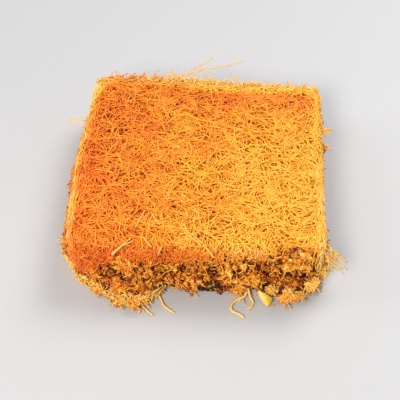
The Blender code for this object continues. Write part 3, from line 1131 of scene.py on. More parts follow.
def sprout(places: Array, ways: Array, lengths: Array, bend: float, steps: int, draw: Draw) -> Strands:
    """Grow short strands from the given places.

    Args:
        places: where they start (strands, 3).
        ways: unit vectors that they start along.
        lengths: how long each is.
        bend: how far they turn aside, as a share of their length.
        steps: points on each strand.
        draw: the source of randomness.

    Returns:
        The strands.
    """
    count = len(places)
    length = lengths[:, None, None]
    share = np.linspace(0, 1, steps)[None, :, None]
    aside = draw.normal(0, bend, (count, 1, 3)) + (0, 0, -0.5 * bend)
    routes = places[:, None] + length * (ways[:, None] * share + aside * share**2)
    width = draw.uniform(0.0009, 0.0012, count)[:, None] * np.linspace(1, 0.8, steps)[None]
    square = unit(np.cross(ways, draw.normal(size=(count, 3))))
    return routes, np.repeat(square[:, None], steps, axis=1), width


def swept(roots: tuple, tips: tuple, count: int, draw: Draw, scatter: float = 0.0016) -> Strands:
    """Grow strands from along one line towards another, some of them only part of the way.

    Args:
        roots: the two ends of the line that they start from.
        tips: the two ends of the line that they lean towards.
        count: how many.
        draw: the source of randomness.
        scatter: how far off both lines they start and point, as a spread.

    Returns:
        The strands.
    """
    share = draw.uniform(0, 1, (count, 1))
    root, tip = (
        np.array(line[0]) * (1 - share) + np.array(line[1]) * share + draw.normal(0, scatter, (count, 3))
        for line in (roots, tips))
    start = root + (tip - root) * draw.uniform(0.0, 0.5, (count, 1))
    reach = tip - start
    lengths = np.linalg.norm(reach, axis=1) * draw.uniform(0.35, 0.95, count)
    return sprout(start, unit(reach), lengths, 0.25, 6, draw)


@dataclass(frozen=True)
class Curls:
    """Short cut ends of strands that curl over the crumbs."""

    lengths: Span = (0.0028, 0.006)
    turn: float = 300.0  # radians for each metre, as a spread
    rise: float = 0.0012
    thickness: Span = (0.0007, 0.0011)
    steps: int = 5

    def grow(self, places: Array, out: Array, along: Array, draw: Draw) -> Strands:
        """Grow one curl at each place.

        Args:
            places: where they lie (curls, 3).
            out: directions out of the surface there.
            along: directions along the surface there.
            draw: the source of randomness.

        Returns:
            The strands.
        """
        count = len(places)
        other = np.cross(out, along)
        length = draw.uniform(*self.lengths, count)[:, None]
        share = np.linspace(0, 1, self.steps)[None]
        way = draw.uniform(0, math.tau, (count, 1)) + draw.normal(0, self.turn, (count, 1)) * length * share
        pace = length / (self.steps - 1)
        over = np.cumsum(np.cos(way) * pace, axis=1)
        up = np.cumsum(np.sin(way) * pace, axis=1)
        tilt = draw.uniform(-0.5, 1.4, (count, 1)) * self.rise
        lift = tilt * np.sin(share * math.pi * draw.uniform(0.5, 1.0, (count, 1)))
        routes = (places[:, None] + along[:, None] * over[..., None] + other[:, None] * up[..., None]
                  + out[:, None] * lift[..., None])
        width = draw.uniform(*self.thickness, count)[:, None] * np.ones(self.steps)
        width[:, [0, -1]] *= 0.8
        return routes, np.repeat(out[:, None], self.steps, axis=1), width


def heaped(heaps: tuple | Array, each: int, draw: Draw) -> tuple[Array, Array]:
    """Pick places in and on small heaps.

    Args:
        heaps: the middle and the radius of each, (x, y, z, radius).
        each: how many places on each heap.
        draw: the source of randomness.

    Returns:
        Places and directions out of the heaps.
    """
    given = np.repeat(np.array(heaps), each, axis=0)
    out = unit(draw.normal(size=(len(given), 3)) * (1.0, 1.0, 0.8) + (0, 0, 0.3))
    return given[:, :3] + out * given[:, 3:] * draw.uniform(0.4, 1.0, (len(given), 1)), out


def smooth_route(places: tuple, steps: int = 6) -> Array:
    """Points along a smooth curve through the given places.

    Args:
        places: points in metres.
        steps: points on each stretch.

    Returns:
        Points (n, 3).
    """
    spots = np.array(places)
    spots = np.concatenate([[2 * spots[0] - spots[1]], spots, [2 * spots[-1] - spots[-2]]])
    t = (np.arange(steps) / steps)[:, None]
    route = [
        0.5 * (2 * b + (c - a) * t + (2 * a - 5 * b + 4 * c - d) * t**2 + (3 * b - a - 3 * c + d) * t**3)
        for a, b, c, d in zip(spots, spots[1:], spots[2:], spots[3:])
    ]
    return np.concatenate([*route, spots[-2:-1]])


def add_wisp(bundle: Bundle, places: tuple, thickness: float, tone: float, brown: float) -> None:
    """Add one long strand through the given places to a bundle.

    Args:
        bundle: what it is added to.
        places: the points that it runs through.
        thickness: its thickness.
        tone: its lightness from 0 to 1.
        brown: how browned it is from 0 to 1.
    """
    route = smooth_route(places)[None]
    forward = unit(np.gradient(route, axis=1))
    square = unit(np.cross(forward, np.array([0.0, 0.0, 1.0])))
    width = np.full(route.shape[:2], thickness)
    width[:, [0, -1]] *= 0.7
    bundle.add((route, square, width), np.array([tone]), np.full(route.shape[:2], brown))


# ---- cores


def gridded_block(name: str, columns: int, rows: int, rings: int) -> Piece:
    """Model a closed block from -1 to 1 with every face cut into a grid, and its bake map.

    Args:
        name: the object's name.
        columns: cells along X.
        rows: cells along Y.
        rings: cells along Z.

    Returns:
        The new object.
    """
    obj = modelled(name, bpy.ops.mesh.primitive_cube_add, size=2.0, calc_uvs=False)
    bpy.ops.object.mode_set(mode="EDIT")
    bpy.ops.mesh.select_mode(type="EDGE")
    for axis, parts in enumerate((columns, rows, rings)):
        bm = bmesh.from_edit_mesh(obj.data)
        for edge in bm.edges:
            edge.select = abs((edge.verts[1].co - edge.verts[0].co)[axis]) > 1e-6
        bmesh.update_edit_mesh(obj.data)
        bpy.ops.mesh.subdivide(number_cuts=parts - 1)
    bpy.ops.object.mode_set(mode="OBJECT")
    map_block(obj.data)
    return obj


def map_block(mesh: Mesh) -> None:
    """Lay the six faces of a gridded block side by side in its bake map.

    Args:
        mesh: the block's mesh.
    """
    corners = read(mesh.loops, "vertex_index", 1)
    normals = np.repeat(read(mesh.polygons, "normal", 3), read(mesh.polygons, "loop_total", 1), axis=0)
    axis = np.abs(normals).argmax(axis=1)
    rows = np.arange(len(corners))
    side = 2 * axis + (normals[rows, axis] > 0)
    spot = read(mesh.vertices, "co", 3)[corners]
    place = np.column_stack([spot[rows, (axis + 1) % 3], spot[rows, (axis + 2) % 3]]) * 0.47 + 0.5
    set_map(mesh, (np.column_stack([side % 3, side // 3]) + place) / 3)


def read(items: bpy.types.bpy_prop_collection, what: str, width: int) -> Array:
    """Read one property of all of a mesh's items.

    Args:
        items: its points, corners or faces.
        what: the property.
        width: how many numbers it has for each item.

    Returns:
        The numbers, (items, width), or (items,) where the width is 1.
    """
    found = np.empty(len(items) * width, np.float32 if what in ("co", "normal") else np.int32)
    items.foreach_get(what, found)
    return found.reshape(-1, width) if width > 1 else found


def reshape(obj: Piece, place: Callable[[Array], Array]) -> Array:
    """Move every point of an object's mesh.

    Args:
        obj: the object.
        place: gives the new places of all its points from the old ones.

    Returns:
        The new places (n, 3).
    """
    mesh = obj.data
    spots = place(read(mesh.vertices, "co", 3).astype(float))
    mesh.vertices.foreach_set("co", spots.astype(np.float32).ravel())
    mesh.shade_smooth()
    mesh.update()
    return spots


class Layer(Enum):
    """The slab's three layers, by the name of the solid that each stands for."""

    CRUST = "top_pastry"
    FILLING = "nut_filling"
    BASE = "base_pastry"


@dataclass(frozen=True)
class Core:
    """The dense inside of a layer, just under its strands or crumbs."""

    layer: Layer
    inset: float  # from the slab's side
    relief: float  # of its rough side
    grain: float  # size of that roughness
    cells: tuple[int, int, int]
    setback: float = 0.001  # how much less than its crumbs the base falls back at the front
    seam: float = 0.0003  # left open under each layer
    edge_fall: float = 0.0016  # how much lower the crust is at its edges

    def build(self, form: SlabForm) -> tuple[Piece, Array]:
        """Build the core without its material, and give its points too."""
        obj = gridded_block(f"{self.layer.value}_core", *self.cells)
        return obj, reshape(obj, lambda box: self._place(box, form))

    def _place(self, box: Array, form: SlabForm) -> Array:
        """Shape the gridded block.

        Args:
            box: its points, from -1 to 1.
            form: the slab's form.

        Returns:
            Their new places (n, 3).
        """
        u, v, w = box.T
        w = (w + 1) / 2
        angle = np.arctan2(v * form.top_depth, u * form.top_width)
        share = np.maximum(np.abs(u), np.abs(v))
        low, high = self._levels(form.side_radius(angle, form.height) * np.cos(angle), form)
        height = low + w * (high - low)
        radius = form.side_radius(angle, height) - self.inset
        bend = w * math.pi / 2
        if self.layer is Layer.CRUST:
            radius = radius + form.notch.push(angle, np.zeros_like(angle)) * share**5
            radius = radius - form.rounding * (1 - np.cos(bend))
        elif self.layer is Layer.FILLING:
            radius = radius - Crags().sunk(form, angle, height)[0]
        else:
            sunk = np.maximum(Crags().sunk(form, angle, height)[0] - self.setback, 0.0)
            radius = radius - sunk * (1.0 - Build().foot(angle))
        side = np.stack([radius * np.cos(angle), radius * np.sin(angle), height], -1)
        rough = waves(side, self.grain) + 0.6 * waves(side, 0.4 * self.grain, 7.0)
        radius = share * (radius + self.relief * rough * share**8)
        x, y = radius * np.cos(angle), radius * np.sin(angle)
        low, high = self._levels(x, form)
        if self.layer is not Layer.CRUST:
            return np.stack([x, y, low + w * (high - low)], -1)
        xy = np.stack([x, y], -1)
        high = high + form.dips(xy) + 0.4 * self.relief * waves(xy, 0.5 * self.grain)
        high = high - self.edge_fall * share**6
        return np.stack([x, y, low + np.sin(bend) * (high - low)], -1)

    def _levels(self, x: Array, form: SlabForm) -> tuple[Array, Array]:
        """Find the layer's lowest and highest level.

        Args:
            x: places across the slab.
            form: the slab's form.

        Returns:
            Both levels at each place.
        """
        if self.layer is Layer.BASE:
            return x * 0 + self.seam, form.base_top(x)
        if self.layer is Layer.FILLING:
            return form.base_top(x) + self.seam, form.filling_top(x)
        return form.filling_top(x) + self.seam, x * 0 + form.height - self.inset


# ---- the layers


@dataclass(frozen=True)
class SlabPart:
    """What every layer is built from."""

    form: SlabForm
    draw: Draw  # the source of randomness


class PastryPart(SlabPart):
    """A layer of shredded pastry, which browns its strands in its own way."""

    def _add(self, bundle: Bundle, strands: Strands, shade: float, dullest: float) -> None:
        """Add strands to a bundle, by how browned and how dull they are."""
        raise NotImplementedError

    def _lay(self, bundle: Bundle, mat: Mat, within: Rule, heading: Rule | None = None) -> None:
        """Add a mat of strands to a bundle."""
        self._add(bundle, mat.lay(self.form, self.draw, within, heading), mat.shade, mat.dullest)

    def _spray(self, bundle: Bundle, sprays: tuple[Spray, ...]) -> None:
        """Add sprays of strand ends to a bundle."""
        for spray in sprays:
            self._add(bundle, spray.grow(self.form, self.draw), spray.shade, spray.dullest)


@dataclass(frozen=True)
class TopPastry(PastryPart):
    """The browned crust: a core under three mats, a fringe, a ruff, hanging ends and wisps."""

    browning: Browning = Browning()
    # The deeper the mat, the browner and duller its strands: painted shade in the gaps under the strands
    # above.
    deep: Mat = Mat(2200, (0.01, 0.024), (-0.0024, -0.0014), steps=5, curl=45.0,
                    shade=0.26, dullest=0.12, sides=3, notched=True)
    middle: Mat = Mat(3300, (0.009, 0.023), (-0.0014, -0.0003), steps=6, curl=40.0,
                      shade=0.06, dullest=0.2, sides=3, notched=True)
    upper: Mat = Mat(2800, (0.007, 0.022), (-0.0004, 0.0006), steps=6, curl=42.0,
                     shade=-0.06, dullest=0.45, notched=True)
    fringe: Mat = Mat(2000, (0.005, 0.013), (-0.0014, 0.0007), steps=6, curl=70.0,
                      dullest=0.2, notched=True)
    fringe_reach: float = 0.006  # how far in from the top's edges the fringe begins
    hanging: Mat = Mat(420, (0.005, 0.01), (-0.0002, 0.001), steps=6, curl=45.0,
                       shade=0.05, dullest=0.3, notched=True)
    hanging_turns: Span = (216, 318)  # the cut front, in degrees
    hanging_past: Span = (-0.009, 0.0035)  # below the crust's lower edge
    drape: Mat = Mat(34, (0.007, 0.013), (-0.0004, 0.001), curl=45.0, shade=-0.3)
    drape_at: tuple[float, float] = (0.085, -0.078)  # the right-hand front corner
    drape_radius: float = 0.018
    drape_from: float = 0.08  # how far across they begin
    drape_drop: float = 0.024
    flock: float = 0.016  # size of a patch whose strands lie about the same way
    flock_turn: float = 6.9  # radians
    flock_spread: float = 0.38
    stray: float = 0.3  # share of strands that lie any way
    edge_from: float = 0.079  # where strands begin to run along the left and right edges
    edge_share: float = 0.75
    front_from: float = -0.071  # where they begin to bend down over the front
    front_share: float = 0.5
    down: float = -90.0  # degrees
    down_spread: float = 0.45  # radians
    ruff: int = 2300
    ruff_at: tuple = (-80, -70, -60, -38, -15, 16, 47, 74, 84)
    ruff_stands: tuple = (3.2, 6.4, 7.9, 5.8, 5.9, 3.4, 2.9, 1.4, 0.6)  # millimetres past the back
    ruff_levels: Span = (0.0355, 0.0428)
    left_rim: Mat = Mat(190, (0.005, 0.011), (0.0, 0.0012), steps=6, curl=50.0, shade=-0.18)
    right_rim: Mat = Mat(190, (0.006, 0.013), (-0.0008, 0.0006), steps=6, curl=45.0, shade=-0.3)
    right_rim_until: float = 0.005  # how far back along the right edge it reaches
    corner_strands: int = 30  # that lean out from the right-hand front corner
    corner_roots: tuple = ((0.0825, -0.06, 0.037), (0.0845, -0.0745, 0.035))
    corner_tips: tuple = ((0.099, -0.064, 0.02), (0.0915, -0.0735, 0.019))
    sprays: tuple[Spray, ...] = (
        Spray(145, 210, 60, 0.024, 0.041, (0.003, 0.006), 0.9, 0.2, shade=-0.1),
        Spray(211, 227, 34, 0.017, 0.024, (0.003, 0.007), 0.7, 0.8, shade=-0.1),
        Spray(-29, 40, 36, 0.036, 0.041, (0.002, 0.004), 0.8, 0.3, shade=-0.1),
    )
    wisps: tuple = (
        ((-0.03, 0.07, 0.042), (-0.019, 0.082, 0.044), (-0.008, 0.09, 0.045),
         (0.006, 0.094, 0.0445), (0.017, 0.099, 0.0435), (0.026, 0.105, 0.043)),
        ((-0.034, 0.069, 0.0425), (-0.022, 0.082, 0.0445), (-0.012, 0.091, 0.045),
         (0.0015, 0.1035, 0.0445)),
        ((-0.041, 0.072, 0.0425), (-0.026, 0.081, 0.044), (-0.012, 0.0865, 0.044),
         (-0.004, 0.092, 0.043), (0.001, 0.0905, 0.042)),
        ((-0.037, 0.074, 0.042), (-0.031, 0.084, 0.044), (-0.0285, 0.092, 0.043)),
        ((0.029, 0.07, 0.0425), (0.023, 0.081, 0.043), (0.017, 0.091, 0.042)),
        ((-0.084, 0.043, 0.037), (-0.094, 0.042, 0.036), (-0.103, 0.041, 0.035),
         (-0.094, 0.036, 0.0355), (-0.084, 0.033, 0.037)),
        ((-0.0542, -0.0852, 0.0425), (-0.0482, -0.0801, 0.0446), (-0.0423, -0.072, 0.0438)),
        ((-0.0537, -0.0857, 0.042), (-0.0476, -0.0803, 0.0448), (-0.0408, -0.075, 0.0438)),
        ((-0.0408, -0.0645, 0.0438), (-0.0385, -0.0579, 0.0447), (-0.0358, -0.0486, 0.0438)),
        ((-0.0312, -0.0509, 0.0438), (-0.0283, -0.0565, 0.0447), (-0.0246, -0.0607, 0.0438)),
        ((-0.0351, -0.0712, 0.0438), (-0.0317, -0.0756, 0.0446), (-0.0285, -0.079, 0.043)),
        ((-0.0214, -0.0775, 0.0435), (-0.0227, -0.0814, 0.044), (-0.0242, -0.084, 0.0415)),
        ((0.0048, -0.075, 0.0438), (0.0087, -0.0803, 0.0443), (0.0125, -0.084, 0.0415)),
        ((-0.0055, -0.0678, 0.0438), (-0.0009, -0.0722, 0.0446), (0.0036, -0.0757, 0.0436)),
        ((-0.0036, -0.0665, 0.0438), (0.0007, -0.0713, 0.0446), (0.0051, -0.0744, 0.0436)),
        ((-0.0055, -0.0583, 0.0438), (-0.0007, -0.0553, 0.0446), (0.0048, -0.0527, 0.0438)),
    )
    wisp_look: tuple[float, float, float] = (0.001, 0.9, 0.22)  # thickness, tone and browning

    def build(self) -> list[Piece]:
        """Build the crust's pieces.

        Returns:
            The new objects.
        """
        finish = StrandFinish("browned_strands").material()
        # darker and redder: painted shade of the deep strands
        deep_shaded_finish = StrandFinish("deep_strands_painted_shade", brown=(0.8, 0.125, 0.005),
                                   dark=(0.5, 0.2, 0.06), gloss=0.2).material()
        loose_finish = StrandFinish("loose_strands", (1.0, 0.62, 0.14), (0.98, 0.47, 0.085)).material()
        pieces = [self._core()]
        for name, mat, look in (("crust_deep_strands", self.deep, deep_shaded_finish),
                                ("crust_middle_strands", self.middle, finish),
                                ("crust_upper_strands", self.upper, finish)):
            bundle = Bundle(self.form, mat.sides)
            self._lay(bundle, mat, Build().in_crust(self.form), self._headings(100 * mat.shade))
            pieces.append(bundle.object(name, look))
        pieces.append(self._fringe().object("crust_fringe_strands", finish))
        pieces.append(self._ruffed().object("crust_back_ruff", loose_finish))
        pieces.append(self._loose().object("crust_wisps", loose_finish))
        return pieces

    def _core(self) -> Piece:
        """Build the dense inside, browned as the strands over it but darker, most where it is brown:
        painted shade of the gaps between the strands.

        Returns:
            The new object.
        """
        core, spots = Core(Layer.CRUST, 0.0024, 0.0008, 0.006, (110, 100, 8)).build(self.form)
        # browner and darker than the strands over it: painted shade in the gaps
        brown = np.clip(self.browning.at(spots, self.form) + 0.42, 0, 1)
        set_trait(core.data, "brown", brown)
        set_trait(core.data, "tone", np.clip(1.25 - 0.8 * brown + waves(spots, 0.0025, 1.0), 0, 1))
        finish = StrandFinish("crust_depth", brown=(0.62, 0.075, 0.004), dark=(0.3, 0.14, 0.04),
                              light=(0.76, 0.56, 0.3), gloss=0.1)
        core.data.materials.append(finish.material())
        return core

    def _headings(self, shift: float) -> Rule:
        """A rule for the way strands lie, with its own pattern of flocks for each shift."""
        return lambda flat: self._ways(flat, shift)

    def _ways(self, flat: Array, shift: float) -> Array:
        """Turn strands in loose flocks, along the side edges, and down over the front.

        Args:
            flat: points (n, 2) of the flat sheet.
            shift: picks the pattern of the flocks.

        Returns:
            Directions in radians.
        """
        count, draw = len(flat), self.draw
        turn = self.flock_turn * waves(flat, self.flock, shift) + draw.normal(0, self.flock_spread, count)
        turn = np.where(draw.uniform(0, 1, count) < self.stray, draw.uniform(0, math.tau, count), turn)
        edge = (np.abs(flat[:, 0]) > self.edge_from) & (draw.uniform(0, 1, count) < self.edge_share)
        front = (flat[:, 1] < self.front_from) & (draw.uniform(0, 1, count) < self.front_share)
        down = math.radians(self.down) + draw.normal(0, self.down_spread, count)
        return np.where(edge | front, down, turn)

    def _add(self, bundle: Bundle, strands: Strands, shade: float, dullest: float) -> None:
        """Add strands browned by where they lie, each a little more or less; pale ones differ least.

        Args:
            bundle: what they are added to.
            strands: the strands.
            shade: how much more browned they are than their places.
            dullest: tone of the dullest of them.
        """
        count = len(strands[0])
        brown = self.browning.at(strands[0], self.form) + shade + self.draw.normal(0, 0.11, (count, 1))
        evenness = np.clip(0.8 - 1.25 * brown.mean(axis=1), 0.0, 0.6)
        dulled = 1.0 - self.draw.uniform(dullest, 1, count)
        bundle.add(strands, 1.0 - dulled * (1.0 - evenness), brown)

    def _fringe(self) -> Bundle:
        """Gather the short strands round the rim and down the sides.

        Returns:
            The strands.
        """
        bundle = Bundle(self.form)
        inner = np.array([self.form.top_width, self.form.top_depth]) / 2 - self.fringe_reach
        in_crust = Build().in_crust(self.form, 0.001)

        def rim(flat: Array) -> Array:
            """Whether points of the crust lie at the top's edges or past them."""
            return (np.abs(flat) > inner).any(axis=-1) & in_crust(flat)

        self._lay(bundle, self.fringe, rim, self._headings(7.0))
        return bundle

    def _loose(self) -> Bundle:
        """Gather the strands that hang, drape and stand off the crust's edges.

        Returns:
            The strands.
        """
        bundle, form, draw = Bundle(self.form), self.form, self.draw

        def hem(flat: Array) -> Array:
            """Whether points lie about the crust's lower edge at the front."""
            angle, drop = form.unfold(flat)
            return (between(degrees_round(angle), *self.hanging_turns) & (drop > 0.001)
                    & between(drop - Build().hang(angle), *self.hanging_past))

        def corner(flat: Array) -> Array:
            """Whether points lie on the right-hand front corner, past the top's edge."""
            near = np.hypot(*np.moveaxis(flat - self.drape_at, -1, 0)) < self.drape_radius
            return near & (flat[..., 0] > self.drape_from) & (form.unfold(flat)[1] < self.drape_drop)

        def left(flat: Array) -> Array:
            """Whether points lie on the rim of the left edge."""
            edge = flat[..., 0] < -form.top_width / 2 + 0.004
            return edge & between(form.unfold(flat)[1], 0.0006, 0.011)

        def right(flat: Array) -> Array:
            """Whether points lie on the rim of the right edge, in its front half."""
            edge = (flat[..., 0] > form.top_width / 2 - 0.0045) & (flat[..., 1] < self.right_rim_until)
            return edge & (form.unfold(flat)[1] < 0.01)

        down = towards(self.down, self.down_spread, draw)
        self._lay(bundle, self.hanging, hem, down)
        self._lay(bundle, self.drape, corner, towards(-55, 0.55, draw))
        self._lay(bundle, self.left_rim, left, down)
        leaning = swept(self.corner_roots, self.corner_tips, self.corner_strands, draw)
        self._add(bundle, leaning, shade=-0.3, dullest=0.6)
        self._spray(bundle, self.sprays)
        self._lay(bundle, self.right_rim, right, down)
        for places in self.wisps:
            add_wisp(bundle, places, *self.wisp_look)
        return bundle

    def _ruffed(self) -> Bundle:
        """Gather the curly ends that stand out along the back edge.

        Returns:
            The strands.
        """
        count, draw = self.ruff, self.draw
        x = draw.uniform(-0.5, 0.5, count) * (self.form.top_width - 0.003)
        stands = np.interp(x * 1000, self.ruff_at, self.ruff_stands) / 1000
        out = draw.uniform(0.0, 0.92, count)
        y = self.form.top_depth / 2 - 0.004 * (1 - out) + stands * out
        places = np.column_stack([x, y, draw.uniform(*self.ruff_levels, count)])
        ways = unit(draw.normal((0.0, 0.3, 0.05), (1.1, 0.4, 0.3), (count, 3)))
        lengths = 0.002 + stands * (1 - out) * draw.uniform(0.2, 0.7, count)
        bundle = Bundle(self.form, 3)
        self._add(bundle, sprout(places, ways, lengths, 0.9, 5, draw), shade=0.0, dullest=0.6)
        return bundle


@dataclass(frozen=True)
class NutFilling(SlabPart):
    """The crumbly filling: a dark core under chunks and crumbs of nut and cut strand ends."""

    crags: Crags = Crags()
    chunks: int = 2500
    clusters: int = 940
    ledge_clusters: int = 150
    ledge_stubs: int = 170
    cluster_crumbs: int = 7
    stubs: int = 1900
    curls: int = 1100
    green: float = 0.04  # share of the chunks
    green_in_hollows: float = 0.22
    stub_lengths: Span = (0.0012, 0.0032)
    front_share: float = 0.5  # of all these that are at the cut front
    front: Span = (0.585, 0.885)  # shares of the way round
    patch: float = 0.006  # size of a patch of one lightness
    across_at: tuple = (-0.045, -0.015, 0.01, 0.035)
    across_paler: tuple = (-0.13, 0.0, 0.0, 0.02)
    end_paler: float = 0.08  # how much paler cut strand ends are than nuts
    strays: tuple = ((0.0882, 0.0352, 0.039, 0.0024), (0.0884, 0.0267, 0.0305, 0.0026))
    stray_crumbs: int = 36  # in each of the two clumps that stand off the right side
    stray_ends: int = 7
    bright_bit: tuple = (0.0686, -0.085, 0.0062)
    bright_size: float = 0.0021
    green_bits: tuple = ((0.0045, -0.0802, 0.0042), (0.0088, -0.0806, 0.003), (0.0123, -0.0802, 0.0046),
                         (0.0098, -0.0795, 0.0068), (0.056, -0.0835, 0.011))

    def build(self) -> list[Piece]:
        """Build the filling's pieces.

        Returns:
            The new objects.
        """
        core, spots = Core(Layer.FILLING, 0.0012, 0.001, 0.004, (150, 140, 16)).build(self.form)
        front = self.crags.front(np.arctan2(spots[:, 1], spots[:, 0]))
        set_trait(core.data, "full", self.crags.fill(spots, front))
        # near black in the hollows: painted shade between the heaps
        finish = CoreFinish("filling_depth", dark=(0.06, 0.006, 0.002), middle=(0.2, 0.03, 0.004),
                            light=(0.5, 0.15, 0.012), grain=600.0)
        core.data.materials.append(finish.material())
        nuts = CrumbFinish("nut_crumbs").material()
        return [core, self._chunks(nuts), self._crumbs(nuts), self._ends()]

    def _spots(self, count: int, bare: float) -> tuple[Array, Array, Array, Array]:
        """Pick places on the crumbly surface, most of them on the heaps.

        Args:
            count: how many.
            bare: how thickly the hollows are strewn, as a share of the heaps.

        Returns:
            Places, outward directions, directions along the side, and how full the side is there.
        """
        form, draw, tries = self.form, self.draw, 4 * count
        at_front = draw.uniform(0, 1, tries) < self.front_share
        share = np.where(at_front, draw.uniform(*self.front, tries), draw.uniform(0, 1, tries))
        angle = form.angles(share)
        x = form.side_radius(angle, form.height / 2) * np.cos(angle)
        low = np.where(Build().foot(angle) < 0.5, 0.0008, form.base_top(x) - 0.002)
        high = form.height - Build().hang(angle) + 0.002
        height = low + (high - low) * draw.uniform(0, 1, tries)
        sunk, full = self.crags.sunk(form, angle, height)
        strewn = bare + (1 - bare) * np.clip((full - 0.2) / 0.35, 0.0, 1.0)
        kept = np.flatnonzero(draw.uniform(0, 1, tries) < strewn)[:count]
        place, out, along = form.side_frame(angle[kept], height[kept])
        return place - out * sunk[kept, None], out, along, full[kept]

    def _ledge(self, count: int) -> Array:
        """Pick places on the base where the filling has fallen back from it, most where it is deep.

        Args:
            count: how many.

        Returns:
            Places (count, 3).
        """
        form, draw = self.form, self.draw
        angle = form.angles(draw.uniform(*self.front, 8 * count))
        x = form.side_radius(angle, form.height / 2) * np.cos(angle)
        height = form.base_top(x) + 0.0008
        sunk, _ = self.crags.sunk(form, angle, height + 0.002)
        kept = np.flatnonzero(draw.uniform(0, self.crags.front_hollow, len(sunk)) < sunk)[:count]
        place, out, _ = form.side_frame(angle[kept], height[kept])
        return place - out * (sunk[kept] * draw.uniform(0, 1, len(kept)))[:, None]

    def _lightness(self, places: Array, full: Array) -> Array:
        """How pale each bit is: dark in the hollows as painted shade, golden to pale on the heaps, and in
        patches.

        Args:
            places: where the bits are (bits, 3).
            full: how full the side is there.

        Returns:
            One value for each bit, which may pass 0 and 1.
        """
        patches = 0.35 * waves(places, self.patch, 21.0)
        across = np.interp(places[:, 0], self.across_at, self.across_paler)
        # the fullness term is painted shade: bits in the hollows come out dark
        return -0.08 + 0.66 * full + patches + across + self.draw.normal(0, 0.19, len(places))

    def _chunks(self, finish: Skin) -> Piece:
        """Build the larger bits of nut.

        Args:
            finish: their material.

        Returns:
            The new object.
        """
        rubble, draw = Rubble(chunky=True, roughness=0.27), self.draw
        places, out, _, full = self._spots(self.chunks, 0.75)
        sizes = draw.uniform(0.0008, 0.0017, len(places))
        tone = self._lightness(places, full)
        places = places - out * draw.uniform(-0.0006, 0.001, (len(places), 1))
        rubble.add(places, sizes, tone, draw, self.green + self.green_in_hollows * (1 - full))
        rubble.add(np.array([self.bright_bit]), np.array([self.bright_size]), np.array([0.95]), draw)
        bits = np.array(self.green_bits)
        rubble.add(bits, draw.uniform(0.0011, 0.0015, len(bits)), np.full(len(bits), 0.5), draw, 1.0)
        return rubble.object("nut_chunks", finish)

    def _crumbs(self, finish: Skin) -> Piece:
        """Build clusters of small crumbs, most on the heaps, and two that stand off the right side.

        Args:
            finish: their material.

        Returns:
            The new object.
        """
        rubble, draw = Rubble(roughness=0.3), self.draw
        places, out, _, full = self._spots(self.clusters, 0.4)
        radius = draw.uniform(0.0011, 0.0025, len(places))
        tone = self._lightness(places, full)
        ledge = self._ledge(self.ledge_clusters)
        middles = np.concatenate([places + out * radius[:, None] * 0.3, ledge])
        radius = np.concatenate([radius, draw.uniform(0.001, 0.002, len(ledge))])
        # dark: painted shade on the ledge under the filling
        tone = np.concatenate([tone, draw.normal(0.27, 0.18, len(ledge))])
        spots, _ = heaped(np.column_stack([middles, radius]), self.cluster_crumbs, draw)
        higher = spots[:, 2] - np.repeat(middles[:, 2], self.cluster_crumbs)
        # the higher on its cluster, the paler a crumb: painted light on the clusters' tops
        tone = np.repeat(tone, self.cluster_crumbs) + 120 * higher + draw.normal(0, 0.1, len(spots))
        rubble.add(spots, draw.uniform(0.0006, 0.0014, len(spots)), tone, draw)
        places, _ = heaped(self.strays, self.stray_crumbs, draw)
        count = len(places)
        rubble.add(places, draw.uniform(0.0005, 0.001, count), draw.normal(1.0, 0.2, count), draw)
        return rubble.object("nut_crumbs", finish)

    def _ends(self) -> Piece:
        """Build the cut strand ends: stubs that stand out of the nuts and curls that lie over them.

        Returns:
            The new object.
        """
        bundle, draw = Bundle(self.form), self.draw
        places, out, _, full = self._spots(self.stubs, 0.25)
        ways = unit(draw.normal(size=places.shape) + out * 0.3)
        grown = sprout(places, ways, self._stub_lengths(places), 0.8, 4, draw)
        self._add(bundle, grown, self._lightness(places, full) + self.end_paler)
        places, out, along, full = self._spots(self.curls, 0.15)
        grown = Curls().grow(places + out * 0.0006, out, along, draw)
        self._add(bundle, grown, self._lightness(places, full) + self.end_paler)
        places = self._ledge(self.ledge_stubs)
        ways = unit(draw.normal(size=places.shape) + (0, 0, 0.6))
        grown = sprout(places, ways, self._stub_lengths(places), 0.4, 4, draw)
        self._add(bundle, grown, draw.normal(0.42, 0.26, len(places)))
        places, out = heaped(self.strays, self.stray_ends, draw)
        grown = sprout(places, out, self._stub_lengths(places), 0.4, 4, draw)
        self._add(bundle, grown, draw.normal(0.8, 0.2, len(places)))
        # its dark brown end is partly painted shade, for ends in the hollows
        finish = StrandFinish("cut_strand_ends", brown=(0.45, 0.055, 0.005), dark=(0.36, 0.18, 0.06))
        return bundle.object("filling_strand_ends", finish.material())

    def _stub_lengths(self, places: Array) -> Array:
        """A length for a stub at each place."""
        return self.draw.uniform(*self.stub_lengths, len(places))

    @staticmethod
    def _add(bundle: Bundle, strands: Strands, light: Array) -> None:
        """Add strand ends that are the paler the lighter they are."""
        steps = strands[0].shape[1]
        bundle.add(strands, 0.2 + light, np.repeat(0.95 - light[:, None], steps, 1))


